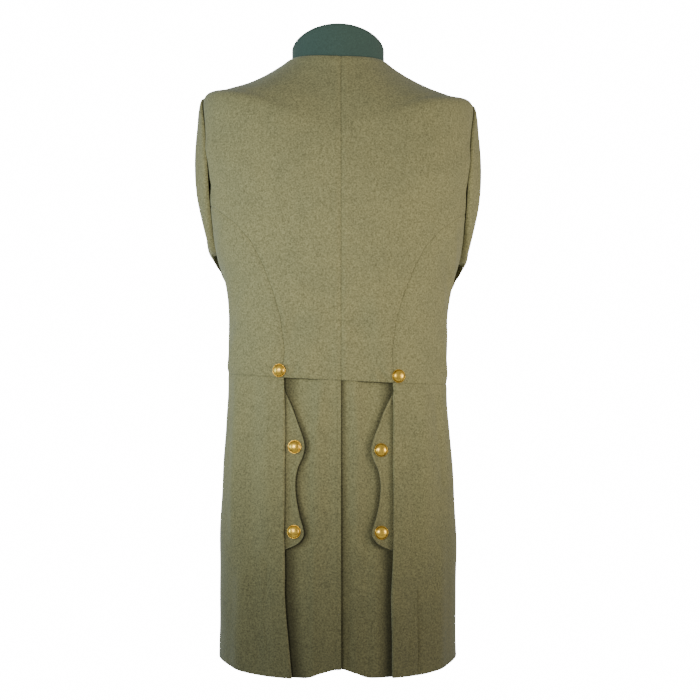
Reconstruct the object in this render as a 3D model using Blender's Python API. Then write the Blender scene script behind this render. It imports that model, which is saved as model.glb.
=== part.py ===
"""A frock coat, filled out as worn and hollow all through.

Metres, +Z up. The wearer faces -Y and their left is +X. The origin is at the base of the
neck, midway between the two points where the shoulder seams meet the collar.
"""

import collections
import math

import bmesh
import bpy
import numpy as np
from mathutils import Matrix, Vector

# Cloth and making
WALL = 0.0020
COLLAR_WALL = 0.0024
SEAM_GAP = 0.0004
LAYER_GAP = 0.0005
BUTTON_GAP = 0.0005
FIRST_SEAM, LAST_SEAM = (0, 1), (-1, -2)

# The coat hangs a little lower on the wearer's right
LEAN_AT_WAIST = 0.048
LEAN_AT_SHOULDER = 0.026
LEAN_SHOULDER_Z = -0.10
LEAN_WAIST_Z = -0.50
LEAN_NONE_BELOW = -0.80

# Heights and half breadths of the level or tilted sections, from the hem to the neck
Section = collections.namedtuple(
    "Section", "name side_z half_width back_z back_depth front_z front_depth roundness"
)
SECTIONS = (
    Section("hem", -0.910, 0.1810, -0.910, 0.1450, -0.910, 0.1520, 2.30),
    Section("low skirt", -0.850, 0.1805, -0.850, 0.1420, -0.850, 0.1490, 2.30),
    Section("knee", -0.790, 0.1805, -0.790, 0.1385, -0.790, 0.1450, 2.30),
    Section("mid skirt", -0.730, 0.1805, -0.730, 0.1335, -0.730, 0.1400, 2.30),
    Section("seat", -0.670, 0.1785, -0.670, 0.1270, -0.670, 0.1335, 2.30),
    Section("hip", -0.615, 0.1760, -0.615, 0.1200, -0.615, 0.1265, 2.30),
    Section("high hip", -0.568, 0.1720, -0.568, 0.1125, -0.568, 0.1195, 2.30),
    Section("below waist", -0.527, 0.1680, -0.527, 0.1065, -0.527, 0.1130, 2.30),
    Section("waist", -0.490, 0.1675, -0.490, 0.1025, -0.490, 0.1090, 2.30),
    Section("above waist", -0.445, 0.1675, -0.445, 0.1015, -0.445, 0.1095, 2.30),
    Section("rib", -0.400, 0.1680, -0.400, 0.1045, -0.400, 0.1130, 2.30),
    Section("high rib", -0.362, 0.1710, -0.362, 0.1095, -0.362, 0.1185, 2.30),
    Section("low chest", -0.333, 0.1770, -0.333, 0.1140, -0.333, 0.1235, 2.30),
    Section("underarm", -0.306, 0.1855, -0.306, 0.1175, -0.306, 0.1270, 2.30),
    Section("chest", -0.262, 0.1950, -0.266, 0.1220, -0.270, 0.1295, 2.30),
    Section("blade", -0.215, 0.2045, -0.228, 0.1245, -0.237, 0.1285, 2.30),
    Section("high blade", -0.165, 0.2090, -0.192, 0.1240, -0.206, 0.1240, 2.25),
    Section("high chest", -0.113, 0.2085, -0.158, 0.1200, -0.178, 0.1165, 2.20),
    Section("shoulder tip", -0.064, 0.2050, -0.126, 0.1135, -0.152, 0.1080, 2.15),
    Section("outer shoulder", -0.0535, 0.1740, -0.101, 0.1055, -0.132, 0.0995, 2.10),
    Section("mid shoulder", -0.0425, 0.1400, -0.077, 0.0965, -0.110, 0.0905, 2.05),
    Section("inner shoulder", -0.0295, 0.1120, -0.053, 0.0865, -0.087, 0.0820, 2.00),
    Section("neck slope", -0.0150, 0.0890, -0.030, 0.0765, -0.067, 0.0755, 2.00),
    Section("neck", -0.0030, 0.0738, -0.008, 0.0678, -0.050, 0.0720, 2.00),
)
LEVEL = {section.name: index for index, section in enumerate(SECTIONS)}
TABLE = np.array([section[1:] for section in SECTIONS])
WAIST, UNDERARM = LEVEL["waist"], LEVEL["underarm"]
TIP, NECK = LEVEL["shoulder tip"], LEVEL["neck"]
LOWEST_ROW_HEIGHT = SECTIONS[1].side_z - SECTIONS[0].side_z

# Seams, as angles round the body from the wearer's side towards the back
SIDE_SEAM = math.radians(-6)
ARMHOLE_BACK_REACH = math.radians(18)
ARMHOLE_FRONT_REACH = math.radians(19)
ARMHOLE_BOW_SKEW = 0.85
ARMHOLE_BOW_FULLNESS = 0.65
BACK_CENTRE_X = -0.0045
SeamPoint = collections.namedtuple("SeamPoint", "height from_centre")
SIDE_BODY_SEAM = (
    SeamPoint(-0.490, 0.0830),
    SeamPoint(-0.450, 0.0790),
    SeamPoint(-0.400, 0.0850),
    SeamPoint(-0.360, 0.0970),
    SeamPoint(-0.325, 0.1110),
    SeamPoint(-0.290, 0.1290),
    SeamPoint(-0.262, 0.1530),
    SeamPoint(-0.240, 0.1830),
    SeamPoint(-0.225, 0.2100),
)
SEAM_REACH_MOST = 0.999

# Front closing, left over right
FRONT_LAP = 0.018
LAP_STEP = 0.004
LAP_EASE = 0.030

# Side pleats, tail and vent
PleatPoint = collections.namedtuple("PleatPoint", "height left right")
PLEAT_EDGES = (
    PleatPoint(-0.910, 0.0670, 0.0785),
    PleatPoint(-0.860, 0.0710, 0.0785),
    PleatPoint(-0.790, 0.0765, 0.0780),
    PleatPoint(-0.700, 0.0775, 0.0795),
    PleatPoint(-0.490, 0.0785, 0.0815),
)
PLEAT_TUCK = 0.036
BACK_TUCK_SHORT = 0.006
PLEAT_RADIUS = WALL + LAYER_GAP
TAIL_DEPTH = 0.0082
TAIL_DEPTH_REACHED = 0.045
TAIL_EASE = 0.025
TAIL_MIDDLE_SHARE = 0.75
TAIL_SINKS_FROM = 0.50
TAIL_SUNK_BY = 0.60
VENT_LAP = 0.026
VENT_STEP = 0.0026
VENT_SPREAD = 0.0050
VENT_STEP_FROM = 0.006
VENT_STEP_OVER = 0.030
HEM_DIP = 0.006
HEM_DIP_FROM = 0.25
HEM_DIP_FULL = 0.75
VENT_LIFT = 0.010
VENT_LIFT_REACH = 0.050
VENT_LIFT_ANGLE = math.radians(30)

# Scalloped free edge of a tail flap, from its top to its tip
FLAP_TUCK = 0.016
FLAP_WALL = 0.0018
FlapPoint = collections.namedtuple("FlapPoint", "height from_centre")
FLAP_EDGE = (
    FlapPoint(-0.496, 0.0860),
    FlapPoint(-0.510, 0.0790),
    FlapPoint(-0.530, 0.0690),
    FlapPoint(-0.552, 0.0605),
    FlapPoint(-0.574, 0.0520),
    FlapPoint(-0.588, 0.0492),
    FlapPoint(-0.602, 0.0520),
    FlapPoint(-0.618, 0.0590),
    FlapPoint(-0.638, 0.0625),
    FlapPoint(-0.660, 0.0612),
    FlapPoint(-0.684, 0.0565),
    FlapPoint(-0.708, 0.0498),
    FlapPoint(-0.719, 0.0530),
    FlapPoint(-0.727, 0.0620),
    FlapPoint(-0.735, 0.0800),
)

# Stand collar
COLLAR_HALF_WIDTH = 0.0716
COLLAR_BACK = 0.0646
COLLAR_FRONT = 0.0658
COLLAR_BASE_SIDE = -0.0345
COLLAR_TILT = 0.310
COLLAR_HEIGHT = 0.0555
COLLAR_SIDE_DROP = 0.0080
COLLAR_TAPER = 0.0010
COLLAR_OPENING = math.radians(0.7)

# Sleeves, empty and brought forward over the front
Sleeve = collections.namedtuple("Sleeve", "height middle half_reach hollow")
SLEEVE_SECTIONS = (
    Sleeve(-0.355, -48, 25, 0.053),
    Sleeve(-0.420, -51, 23, 0.051),
    Sleeve(-0.490, -52, 21, 0.048),
    Sleeve(-0.560, -51, 21, 0.045),
    Sleeve(-0.630, -50, 20, 0.042),
)
SLEEVE_WALL = 0.0014
SLEEVE_GAP = 0.0035
SLEEVE_SEAM_GAP = 0.0008
SLEEVE_SPREAD = 0.0105
SLEEVE_SPREAD_LEAST = 0.0028
SLEEVE_OPEN = 0.0060
SLEEVE_BEND_ROWS = 8
SLEEVE_HANG_ROWS = 5
CUFF_SLOPE = 0.012
SLEEVE_BULGE = 0.045
SLEEVE_FORWARD = 0.030
NORMAL_SMOOTHINGS = 5
SLEEVE_TURN_SKEW = 1.90
SLEEVE_FALL = 0.065
SLEEVE_FALL_SHARE = 0.45
SLEEVE_FILL = 0.85
SLEEVE_GAP_BY = 0.4
SLEEVE_FILL_BY = 0.6
SLEEVE_OPEN_LEAST = -0.30
SLEEVE_BLEND = 0.004

# Buttons
Button = collections.namedtuple("Button", "name side from_centre height depth")
DOME_RADIUS = 0.0100
DOME_HEIGHT = 0.0068
DOME_RIM = 0.0014
DOME_FOOT_SHARE = 0.93
DOME_CROWN_SHARE = 0.94
DOME_RIM_BULGE = 0.35
DOME_SIDES = 16
DOME_RINGS = 4
FRONT_BUTTONS = 8
FRONT_BUTTON_TOP = -0.085
FRONT_BUTTON_BOTTOM = -0.475
FLAP_DEPTH = 2 * PLEAT_RADIUS + LAYER_GAP
TAIL_BUTTONS = (
    Button("button_waist_left", 1, 0.0860, -0.4800, 0.0),
    Button("button_waist_right", -1, 0.0885, -0.4800, 0.0),
    Button("button_flap_upper_left", 1, 0.0640, -0.5885, FLAP_DEPTH),
    Button("button_flap_upper_right", -1, 0.0635, -0.5885, FLAP_DEPTH),
    Button("button_flap_lower_left", 1, 0.0645, -0.7085, FLAP_DEPTH),
    Button("button_flap_lower_right", -1, 0.0635, -0.7085, FLAP_DEPTH),
)

# Mesh density
BODICE_LOW_ROWS = 8
ARMHOLE_ROWS = 5
SHOULDER_ROWS = 5
BACK_COLUMNS = 6
SIDE_COLUMNS = 4
FRONT_COLUMNS = 8
SKIRT_ROWS = 9
SKIRT_FRONT_COLUMNS = 14
SKIRT_BACK_COLUMNS = 8
FLAP_COLUMNS = 3
COLLAR_COLUMNS = 30
COLLAR_ROWS = 3
PLEAT_FOLD_STEPS = 4
PLEAT_TUCK_COLUMNS = 2
LAP_COLUMNS = 2

# Finishes
CLOTH_SHARP_ANGLE = math.radians(40)
BUTTON_SHARP_ANGLE = math.radians(50)
Finish = collections.namedtuple("Finish", "name colour roughness metallic")
WOOL = Finish("grey green wool", (0.24, 0.22, 0.12), 0.95, 0.0)
COLLAR_CLOTH = Finish("dark green facing cloth", (0.06, 0.10, 0.08), 0.90, 0.0)
BRASS = Finish("gilt brass", (0.80, 0.55, 0.16), 0.30, 1.0)

BACK, SIDE, FRONT = math.pi / 2, 0.0, -math.pi / 2
STEP = 1e-3
LEVEL_STEP = 0.02


def smooth(value, low, high):
    """0 below low, 1 above high, and a soft rise between them."""
    share = min(max((value - low) / (high - low), 0.0), 1.0)
    return share * share * (3 - 2 * share)


def section_at(level):
    """The section's sizes at a level between two rows of the table."""
    last = len(SECTIONS) - 1
    level = min(max(level, 0.0), last)
    index = min(int(level), last - 1)
    share = level - index
    before, start, end, after = (
        TABLE[min(max(index + shift, 0), last)] for shift in (-1, 0, 1, 2)
    )
    return 0.5 * (
        2 * start
        + (end - before) * share
        + (2 * before - 5 * start + 4 * end - after) * share**2
        + (3 * start - before - 3 * end + after) * share**3
    )


def body_point(level, angle):
    """A point of the coat's outer form, on the wearer's left."""
    side_z, half_width, back_z, back_depth, front_z, front_depth, roundness = section_at(level)
    across, along = math.cos(angle), math.sin(angle)
    depth, far_z = (back_depth, back_z) if along >= 0 else (front_depth, front_z)
    radius = (
        (abs(across) / half_width) ** roundness + (abs(along) / depth) ** roundness
    ) ** (-1 / roundness)
    height = side_z + (far_z - side_z) * along * along
    return np.array((radius * across, radius * along, height))


def body_normal(level, angle):
    """The outward direction of the coat's outer form."""
    low, high = max(level - LEVEL_STEP, 0.0), min(level + LEVEL_STEP, len(SECTIONS) - 1)
    up = body_point(high, angle) - body_point(low, angle)
    round_it = body_point(level, angle + STEP) - body_point(level, angle - STEP)
    normal = np.cross(round_it, up)
    return normal / np.linalg.norm(normal)


def cloth_point(level, angle, depth=0.0):
    """A point set in from the outer form by a depth."""
    point = body_point(level, angle)
    return point - depth * body_normal(level, angle) if depth else point


def solve(function, low, high, steps=30):
    """Where a rising function passes zero."""
    for _ in range(steps):
        middle = 0.5 * (low + high)
        if function(middle) > 0:
            high = middle
        else:
            low = middle
    return 0.5 * (low + high)


def angle_at_x(level, from_centre, back=True):
    """The angle at which the section is this far from the centre."""
    if back:
        return solve(lambda angle: from_centre - body_point(level, angle)[0], 0.0, math.pi)
    return solve(lambda angle: body_point(level, angle)[0] - from_centre, -math.pi, 0.0)


def level_at(height, angle):
    """The level of the point at this height and angle."""
    return solve(lambda level: body_point(level, angle)[2] - height, 0.0, len(SECTIONS) - 1)


def arc_step(level, angle):
    """Metres moved for each radian at a point of a section."""
    return np.linalg.norm(body_point(level, angle + STEP) - body_point(level, angle)) / STEP


def armhole_angle(level, back):
    """The armhole's edge, from the side seam up to the shoulder tip."""
    share = min(max((level - UNDERARM) / (TIP - UNDERARM), 0.0), 1.0)
    bow = math.sin(math.pi * share**ARMHOLE_BOW_SKEW)
    bow = bow**ARMHOLE_BOW_FULLNESS if 0.0 < share < 1.0 else 0.0
    reach = ARMHOLE_BACK_REACH if back else -ARMHOLE_FRONT_REACH
    return SIDE_SEAM * (1 - share) + reach * bow


def side_body_angle(level):
    """The curved seam between the back and the side body."""
    height = section_at(level)[0]
    heights = [point.height for point in SIDE_BODY_SEAM]
    places = [point.from_centre for point in SIDE_BODY_SEAM]
    place = float(np.interp(height, heights, places))
    half_width = section_at(level)[1]
    return angle_at_x(level, min(place, SEAM_REACH_MOST * half_width))


SEAM_TOP = solve(
    lambda level: armhole_angle(level, True) - side_body_angle(level), UNDERARM + 1, TIP - 2
)


def spaced(start, end, count, ends_too=True):
    """Evenly spaced values."""
    return list(np.linspace(start, end, count + 1))[: None if ends_too else -1]


LOW_SHARES = spaced(0.0, 1.0, BODICE_LOW_ROWS)
BACK_ARMHOLE_LEVELS = spaced(SEAM_TOP, TIP, ARMHOLE_ROWS)
FRONT_ARMHOLE_LEVELS = spaced(UNDERARM, TIP, ARMHOLE_ROWS + 2)
SHOULDER_LEVELS = spaced(TIP, NECK, SHOULDER_ROWS)


def leaned(point):
    """The point after the coat's slight lean."""
    below = smooth(point[2], LEAN_NONE_BELOW, LEAN_WAIST_Z)
    above = smooth(point[2], LEAN_WAIST_Z, LEAN_SHOULDER_Z)
    lean = below * (LEAN_AT_WAIST + (LEAN_AT_SHOULDER - LEAN_AT_WAIST) * above)
    return np.array((point[0], point[1], point[2] + lean * point[0]))


def mirrored(point, side):
    return np.array((point[0] * side, point[1], point[2]))


def make_wall(name, outer, inner, material, side=1):
    """A closed cloth wall between two grids of points."""
    rows, columns = len(outer), len(outer[0])
    sheet = bmesh.new()
    faces_of = []
    for grid in (outer, inner):
        faces_of.append(
            [[sheet.verts.new(leaned(mirrored(point, side))) for point in row] for row in grid]
        )
    front, back = faces_of
    for i in range(rows - 1):
        for j in range(columns - 1):
            sheet.faces.new((front[i][j], front[i][j + 1], front[i + 1][j + 1], front[i + 1][j]))
            sheet.faces.new((back[i][j], back[i + 1][j], back[i + 1][j + 1], back[i][j + 1]))
    for i in range(rows - 1):
        sheet.faces.new((front[i][0], front[i + 1][0], back[i + 1][0], back[i][0]))
        sheet.faces.new((front[i + 1][-1], front[i][-1], back[i][-1], back[i + 1][-1]))
    for j in range(columns - 1):
        sheet.faces.new((front[0][j + 1], front[0][j], back[0][j], back[0][j + 1]))
        sheet.faces.new((front[-1][j], front[-1][j + 1], back[-1][j + 1], back[-1][j]))
    bmesh.ops.recalc_face_normals(sheet, faces=sheet.faces)
    if sheet.calc_volume(signed=True) < 0:
        bmesh.ops.reverse_faces(sheet, faces=sheet.faces)
    mesh = bpy.data.meshes.new(name)
    sheet.to_mesh(mesh)
    sheet.free()
    mesh.shade_smooth()
    mesh.set_sharp_from_angle(angle=CLOTH_SHARP_ANGLE)
    mesh.materials.append(material)
    return add_object(name, mesh)


def add_object(name, mesh):
    made = bpy.data.objects.new(name, mesh)
    bpy.context.scene.collection.objects.link(made)
    return made


def pulled_in(outer, inner, seams, gap=SEAM_GAP):
    """Both faces with their first or last columns moved off the seams, straight across each."""
    outer, inner = np.array(outer), np.array(inner)
    for edge, near in seams:
        along = np.gradient(outer[:, edge], axis=0)
        along /= np.linalg.norm(along, axis=1, keepdims=True)
        through = outer[:, edge] - inner[:, edge]
        pull = np.cross(along, through)
        pull /= np.linalg.norm(pull, axis=1, keepdims=True)
        if ((outer[:, near] - outer[:, edge]) * pull).sum() < 0:
            pull = -pull
        outer[:, edge] += 0.5 * gap * pull
        inner[:, edge] += 0.5 * gap * pull
    return outer, inner


def make_cloth(name, places, material, side, wall=WALL, seams=()):
    """A wall from a grid of (level, angle, depth) places on the coat's form."""
    outer = [[cloth_point(*place) for place in row] for row in places]
    inner = [
        [cloth_point(level, angle, depth + wall) for level, angle, depth in row] for row in places
    ]
    return make_wall(name, *pulled_in(outer, inner, seams), material, side)


def row_between(level, start, end, columns):
    """Places along one level."""
    return [(level, angle, 0.0) for angle in spaced(start, end, columns)]


WAIST_TOP = WAIST + 0.5 * SEAM_GAP / (SECTIONS[WAIST + 1].side_z - SECTIONS[WAIST].side_z)
WAIST_UNDER = WAIST - 0.5 * SEAM_GAP / (SECTIONS[WAIST].side_z - SECTIONS[WAIST - 1].side_z)


def low_level(top, share):
    """A bodice level between the waist seam and a top level."""
    return WAIST_TOP + (top - WAIST_TOP) * share


def back_edge(level):
    """The outer edge of the back: side body seam, armhole, then shoulder seam."""
    if level <= SEAM_TOP:
        return side_body_angle(level)
    return armhole_angle(level, True) if level < TIP else SIDE


def make_back(side, material):
    """Half of the back, from the centre seam to the side body, armhole and shoulder."""
    levels = [low_level(SEAM_TOP, share) for share in LOW_SHARES]
    levels += BACK_ARMHOLE_LEVELS[1:] + SHOULDER_LEVELS[1:]
    rows = []
    for level in levels:
        centre = angle_at_x(level, side * BACK_CENTRE_X)
        rows.append(row_between(level, centre, back_edge(level), BACK_COLUMNS))
    seams = (FIRST_SEAM, LAST_SEAM)
    make_cloth(f"back_{side_name(side)}", rows, material, side, seams=seams)


def side_top_level(share):
    """Where a column of the side body meets the armhole."""

    def above(level):
        edge = side_body_angle(min(level, SEAM_TOP))
        here = edge + (SIDE_SEAM - edge) * share
        return armhole_angle(level, True) - here

    if share >= 1.0:
        return float(UNDERARM)
    if share <= 0.0:
        return SEAM_TOP
    return solve(above, UNDERARM, SEAM_TOP)


SIDE_SHARES = spaced(0.0, 1.0, SIDE_COLUMNS)
SIDE_TOPS = [side_top_level(share) for share in SIDE_SHARES]


def make_side_body(side, material):
    """The panel under the arm, its top cut by the armhole."""
    rows = []
    for low_share in LOW_SHARES:
        row = []
        for share, top in zip(SIDE_SHARES, SIDE_TOPS):
            level = low_level(top, low_share)
            start = side_body_angle(level)
            row.append((level, start + (SIDE_SEAM - start) * share, 0.0))
        rows.append(row)
    seams = (FIRST_SEAM, LAST_SEAM)
    make_cloth(f"side_body_{side_name(side)}", rows, material, side, seams=seams)


def lap_depth(side, signed_x):
    """How far the right front lies under the left one."""
    if side > 0:
        return 0.0
    reach = FRONT_LAP + LAP_STEP
    return (WALL + LAYER_GAP) * (1 - smooth(-signed_x, reach, reach + LAP_EASE))


def front_row(level, edge, side, columns):
    """Places from the front edge to a side angle, with the lap."""
    angles = [angle_at_x(level, x, back=False) for x in (-FRONT_LAP, 0.0, FRONT_LAP)]
    lap_end = angle_at_x(level, FRONT_LAP + 0.5 * LAP_EASE, back=False)
    angles += spaced(lap_end, edge, columns - 3)
    row = []
    for angle in angles:
        signed_x = body_point(level, angle)[0] * side
        row.append((level, angle, lap_depth(side, signed_x)))
    return row


def make_forepart(side, material):
    """Half of the front, from its lapped edge to the side seam, armhole and shoulder."""
    levels = [low_level(UNDERARM, share) for share in LOW_SHARES]
    levels += FRONT_ARMHOLE_LEVELS[1:] + SHOULDER_LEVELS[1:]
    rows = []
    for level in levels:
        if level <= UNDERARM:
            edge = SIDE_SEAM
        else:
            edge = armhole_angle(level, False) if level < TIP else SIDE
        rows.append(front_row(level, edge, side, FRONT_COLUMNS))
    make_cloth(f"forepart_{side_name(side)}", rows, material, side, seams=(LAST_SEAM,))


def tail_depth(height, from_centre):
    """How far the back skirt lies in from the folded edges beside it."""
    beside = smooth(from_centre, TAIL_DEPTH_REACHED - TAIL_EASE, TAIL_DEPTH_REACHED)
    lower = smooth(-height, TAIL_SINKS_FROM, TAIL_SUNK_BY)
    return TAIL_DEPTH * max(beside, TAIL_MIDDLE_SHARE * lower)


def hem_level(angle, from_centre):
    """The skirt's lowest level, lifted at the vent and dipped beside the pleats."""
    at_back = max(math.sin(angle), 0.0)
    dip = HEM_DIP * smooth(at_back, HEM_DIP_FROM, HEM_DIP_FULL)
    lift = 0.0
    if angle > VENT_LIFT_ANGLE:
        lift = (VENT_LIFT + HEM_DIP) * (1 - smooth(abs(from_centre), 0.0, VENT_LIFT_REACH))
    return (lift - dip) / LOWEST_ROW_HEIGHT


def pleat_edge(side, height):
    """How far the pleat's folded edge is from the centre."""
    heights = [point.height for point in PLEAT_EDGES]
    places = [point.left if side > 0 else point.right for point in PLEAT_EDGES]
    return float(np.interp(height, heights, places))


def skirt_level(angle, from_centre, share):
    """A skirt level between the hem and the waist seam."""
    lowest = hem_level(angle, from_centre)
    return lowest + (WAIST_UNDER - lowest) * share


def skirt_point(level, angle, depth):
    """A point of the skirt. Below the lowest section the form runs straight on."""
    point = cloth_point(max(level, 0.0), angle, depth)
    if level < 0:
        point[2] += level * LOWEST_ROW_HEIGHT
    return point


def make_skirt_front(side, material):
    """The front skirt, round the side to a pleat edge that folds back under."""
    fold = [math.pi * step / PLEAT_FOLD_STEPS for step in range(1, PLEAT_FOLD_STEPS + 1)]
    outer, inner = [], []
    for share in spaced(0.0, 1.0, SKIRT_ROWS):
        outer_row, inner_row = [], []
        edge_x = pleat_edge(side, section_at(skirt_level(0.0, 1.0, share))[0])
        columns = [("lap", value) for value in spaced(0.0, 1.0, LAP_COLUMNS, ends_too=False)]
        panel_columns = SKIRT_FRONT_COLUMNS - LAP_COLUMNS
        columns += [("panel", value) for value in spaced(0.0, 1.0, panel_columns)]
        for part, value in columns:
            level = skirt_level(0.0, 1.0, share)
            centre = angle_at_x(level, -FRONT_LAP, back=False)
            lap_end = angle_at_x(level, FRONT_LAP + 0.5 * LAP_EASE, back=False)
            edge = angle_at_x(level, edge_x + PLEAT_RADIUS)
            if part == "lap":
                angle = centre + (lap_end - centre) * value
            else:
                angle = lap_end + (edge - lap_end) * value
            signed_x = body_point(level, angle)[0] * side
            level = skirt_level(angle, edge_x, share)
            depth = lap_depth(side, signed_x)
            outer_row.append(skirt_point(level, angle, depth))
            inner_row.append(skirt_point(level, angle, depth + WALL))
        edge_angle = angle
        level = skirt_level(edge_angle, edge_x, share)
        pace = arc_step(max(level, 0.0), edge_angle)
        for turn in fold:
            for row, radius in ((outer_row, PLEAT_RADIUS), (inner_row, PLEAT_RADIUS - WALL)):
                angle = edge_angle + radius * math.sin(turn) / pace
                row.append(skirt_point(level, angle, PLEAT_RADIUS - radius * math.cos(turn)))
        for value in spaced(0.0, 1.0, PLEAT_TUCK_COLUMNS)[1:]:
            angle = edge_angle - PLEAT_TUCK * value / pace
            outer_row.append(skirt_point(level, angle, 2 * PLEAT_RADIUS))
            inner_row.append(skirt_point(level, angle, 2 * PLEAT_RADIUS - WALL))
        outer.append(outer_row)
        inner.append(inner_row)
    make_wall(f"skirt_front_{side_name(side)}", outer, inner, material, side)


def make_skirt_back(side, material):
    """The back skirt, from the vent to under the pleat, left over right."""
    start_x = BACK_CENTRE_X if side > 0 else -(BACK_CENTRE_X + VENT_LAP)
    outer, inner = [], []
    for share in spaced(0.0, 1.0, SKIRT_ROWS):
        outer_row, inner_row = [], []
        edge_x = pleat_edge(side, section_at(skirt_level(0.0, 1.0, share))[0])
        end_x = edge_x + PLEAT_TUCK - BACK_TUCK_SHORT
        for value in spaced(0.0, 1.0, SKIRT_BACK_COLUMNS):
            from_centre = start_x + (end_x - start_x) * value
            level = max(skirt_level(BACK, from_centre, share), 0.0)
            angle = angle_at_x(level, from_centre)
            level = skirt_level(angle, from_centre, share)
            depth = tail_depth(section_at(level)[0], abs(from_centre))
            if side < 0:
                under = 1 - smooth(from_centre, VENT_STEP_FROM, VENT_STEP_OVER)
                depth += (VENT_STEP + VENT_SPREAD * (1 - share)) * under
            outer_row.append(skirt_point(level, angle, depth))
            inner_row.append(skirt_point(level, angle, depth + WALL))
        outer.append(outer_row)
        inner.append(inner_row)
    make_wall(f"skirt_back_{side_name(side)}", outer, inner, material, side)


def make_tail_flap(side, material):
    """A scalloped flap that comes out from under the pleat."""
    rows = []
    for point in FLAP_EDGE:
        level = level_at(point.height, BACK)
        tucked_x = pleat_edge(side, point.height) + FLAP_TUCK
        row = []
        for share in spaced(0.0, 1.0, FLAP_COLUMNS):
            from_centre = point.from_centre + (tucked_x - point.from_centre) * share
            row.append((level, angle_at_x(level, from_centre), FLAP_DEPTH))
        rows.append(row)
    make_cloth(f"tail_flap_{side_name(side)}", rows, material, side, FLAP_WALL)


def make_collar(material):
    """The stand collar, meeting edge to edge at the front."""
    outer, inner = [], []
    start = FRONT + COLLAR_OPENING
    end = start + 2 * math.pi - 2 * COLLAR_OPENING
    for share in spaced(0.0, 1.0, COLLAR_ROWS):
        for rows, wall in ((outer, 0.0), (inner, COLLAR_WALL)):
            row = []
            for angle in spaced(start, end, COLLAR_COLUMNS):
                half_width = COLLAR_HALF_WIDTH - COLLAR_TAPER * share - wall
                depth = COLLAR_BACK if math.sin(angle) > 0 else COLLAR_FRONT
                x = half_width * math.cos(angle)
                y = (depth - COLLAR_TAPER * share - wall) * math.sin(angle)
                height = COLLAR_HEIGHT - COLLAR_SIDE_DROP * math.cos(angle) ** 2
                z = COLLAR_BASE_SIDE + COLLAR_TILT * y + height * share
                row.append(np.array((x, y, z)))
            rows.append(row)
    make_wall("collar", outer, inner, material)


def armhole_loop():
    """The armhole's edge points, from the shoulder tip down the back and up the front."""
    loop = [(level, armhole_angle(level, True)) for level in reversed(BACK_ARMHOLE_LEVELS)]
    for share, top in list(zip(SIDE_SHARES, SIDE_TOPS))[1:]:
        loop.append((top, armhole_angle(top, True)))
    loop += [(level, armhole_angle(level, False)) for level in FRONT_ARMHOLE_LEVELS[1:]]
    return loop


def sleeve_section(height):
    """Middle angle, half reach and hollow of the hanging sleeve at a height."""
    rows = sorted(SLEEVE_SECTIONS, key=lambda row: row.height)
    heights = [row.height for row in rows]
    return [
        float(np.interp(height, heights, [row[column] for row in rows])) for column in (1, 2, 3)
    ]


def hanging_point(height, turn):
    """A point round the sleeve where it hangs in front of the coat."""
    middle, half_reach, hollow = sleeve_section(height)
    angle = math.radians(middle + half_reach * math.cos(turn))
    out = SLEEVE_GAP + 0.5 * hollow * (1 + math.sin(turn))
    level = level_at(height, angle)
    point = body_point(level, angle)
    flat = body_normal(level, angle) * np.array((1, 1, 0))
    return point + out * flat / np.linalg.norm(flat)


def kept_clear(point, gap, spread):
    """The point pushed out until it clears the body, and held in at the side."""
    angle = math.atan2(point[1], point[0])
    level = level_at(point[2], angle)
    surface = body_point(level, angle)
    least = math.hypot(surface[0], surface[1]) + gap
    radius = math.hypot(point[0], point[1])
    radius = least + SLEEVE_BLEND * math.log1p(math.exp((radius - least) / SLEEVE_BLEND))
    limit = section_at(level)[1] + spread
    x = radius * math.cos(angle)
    if x > limit - 3 * SLEEVE_BLEND:
        x = limit - SLEEVE_BLEND * math.log1p(math.exp((limit - x) / SLEEVE_BLEND))
    return np.array((x, radius * math.sin(angle), point[2]))


def curve_point(start, leaving, arriving, end, share):
    """A point of the cubic Bezier curve between two ends."""
    left = 1 - share
    return (
        left**3 * start
        + 3 * share * left**2 * leaving
        + 3 * share**2 * left * arriving
        + share**3 * end
    )


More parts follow.
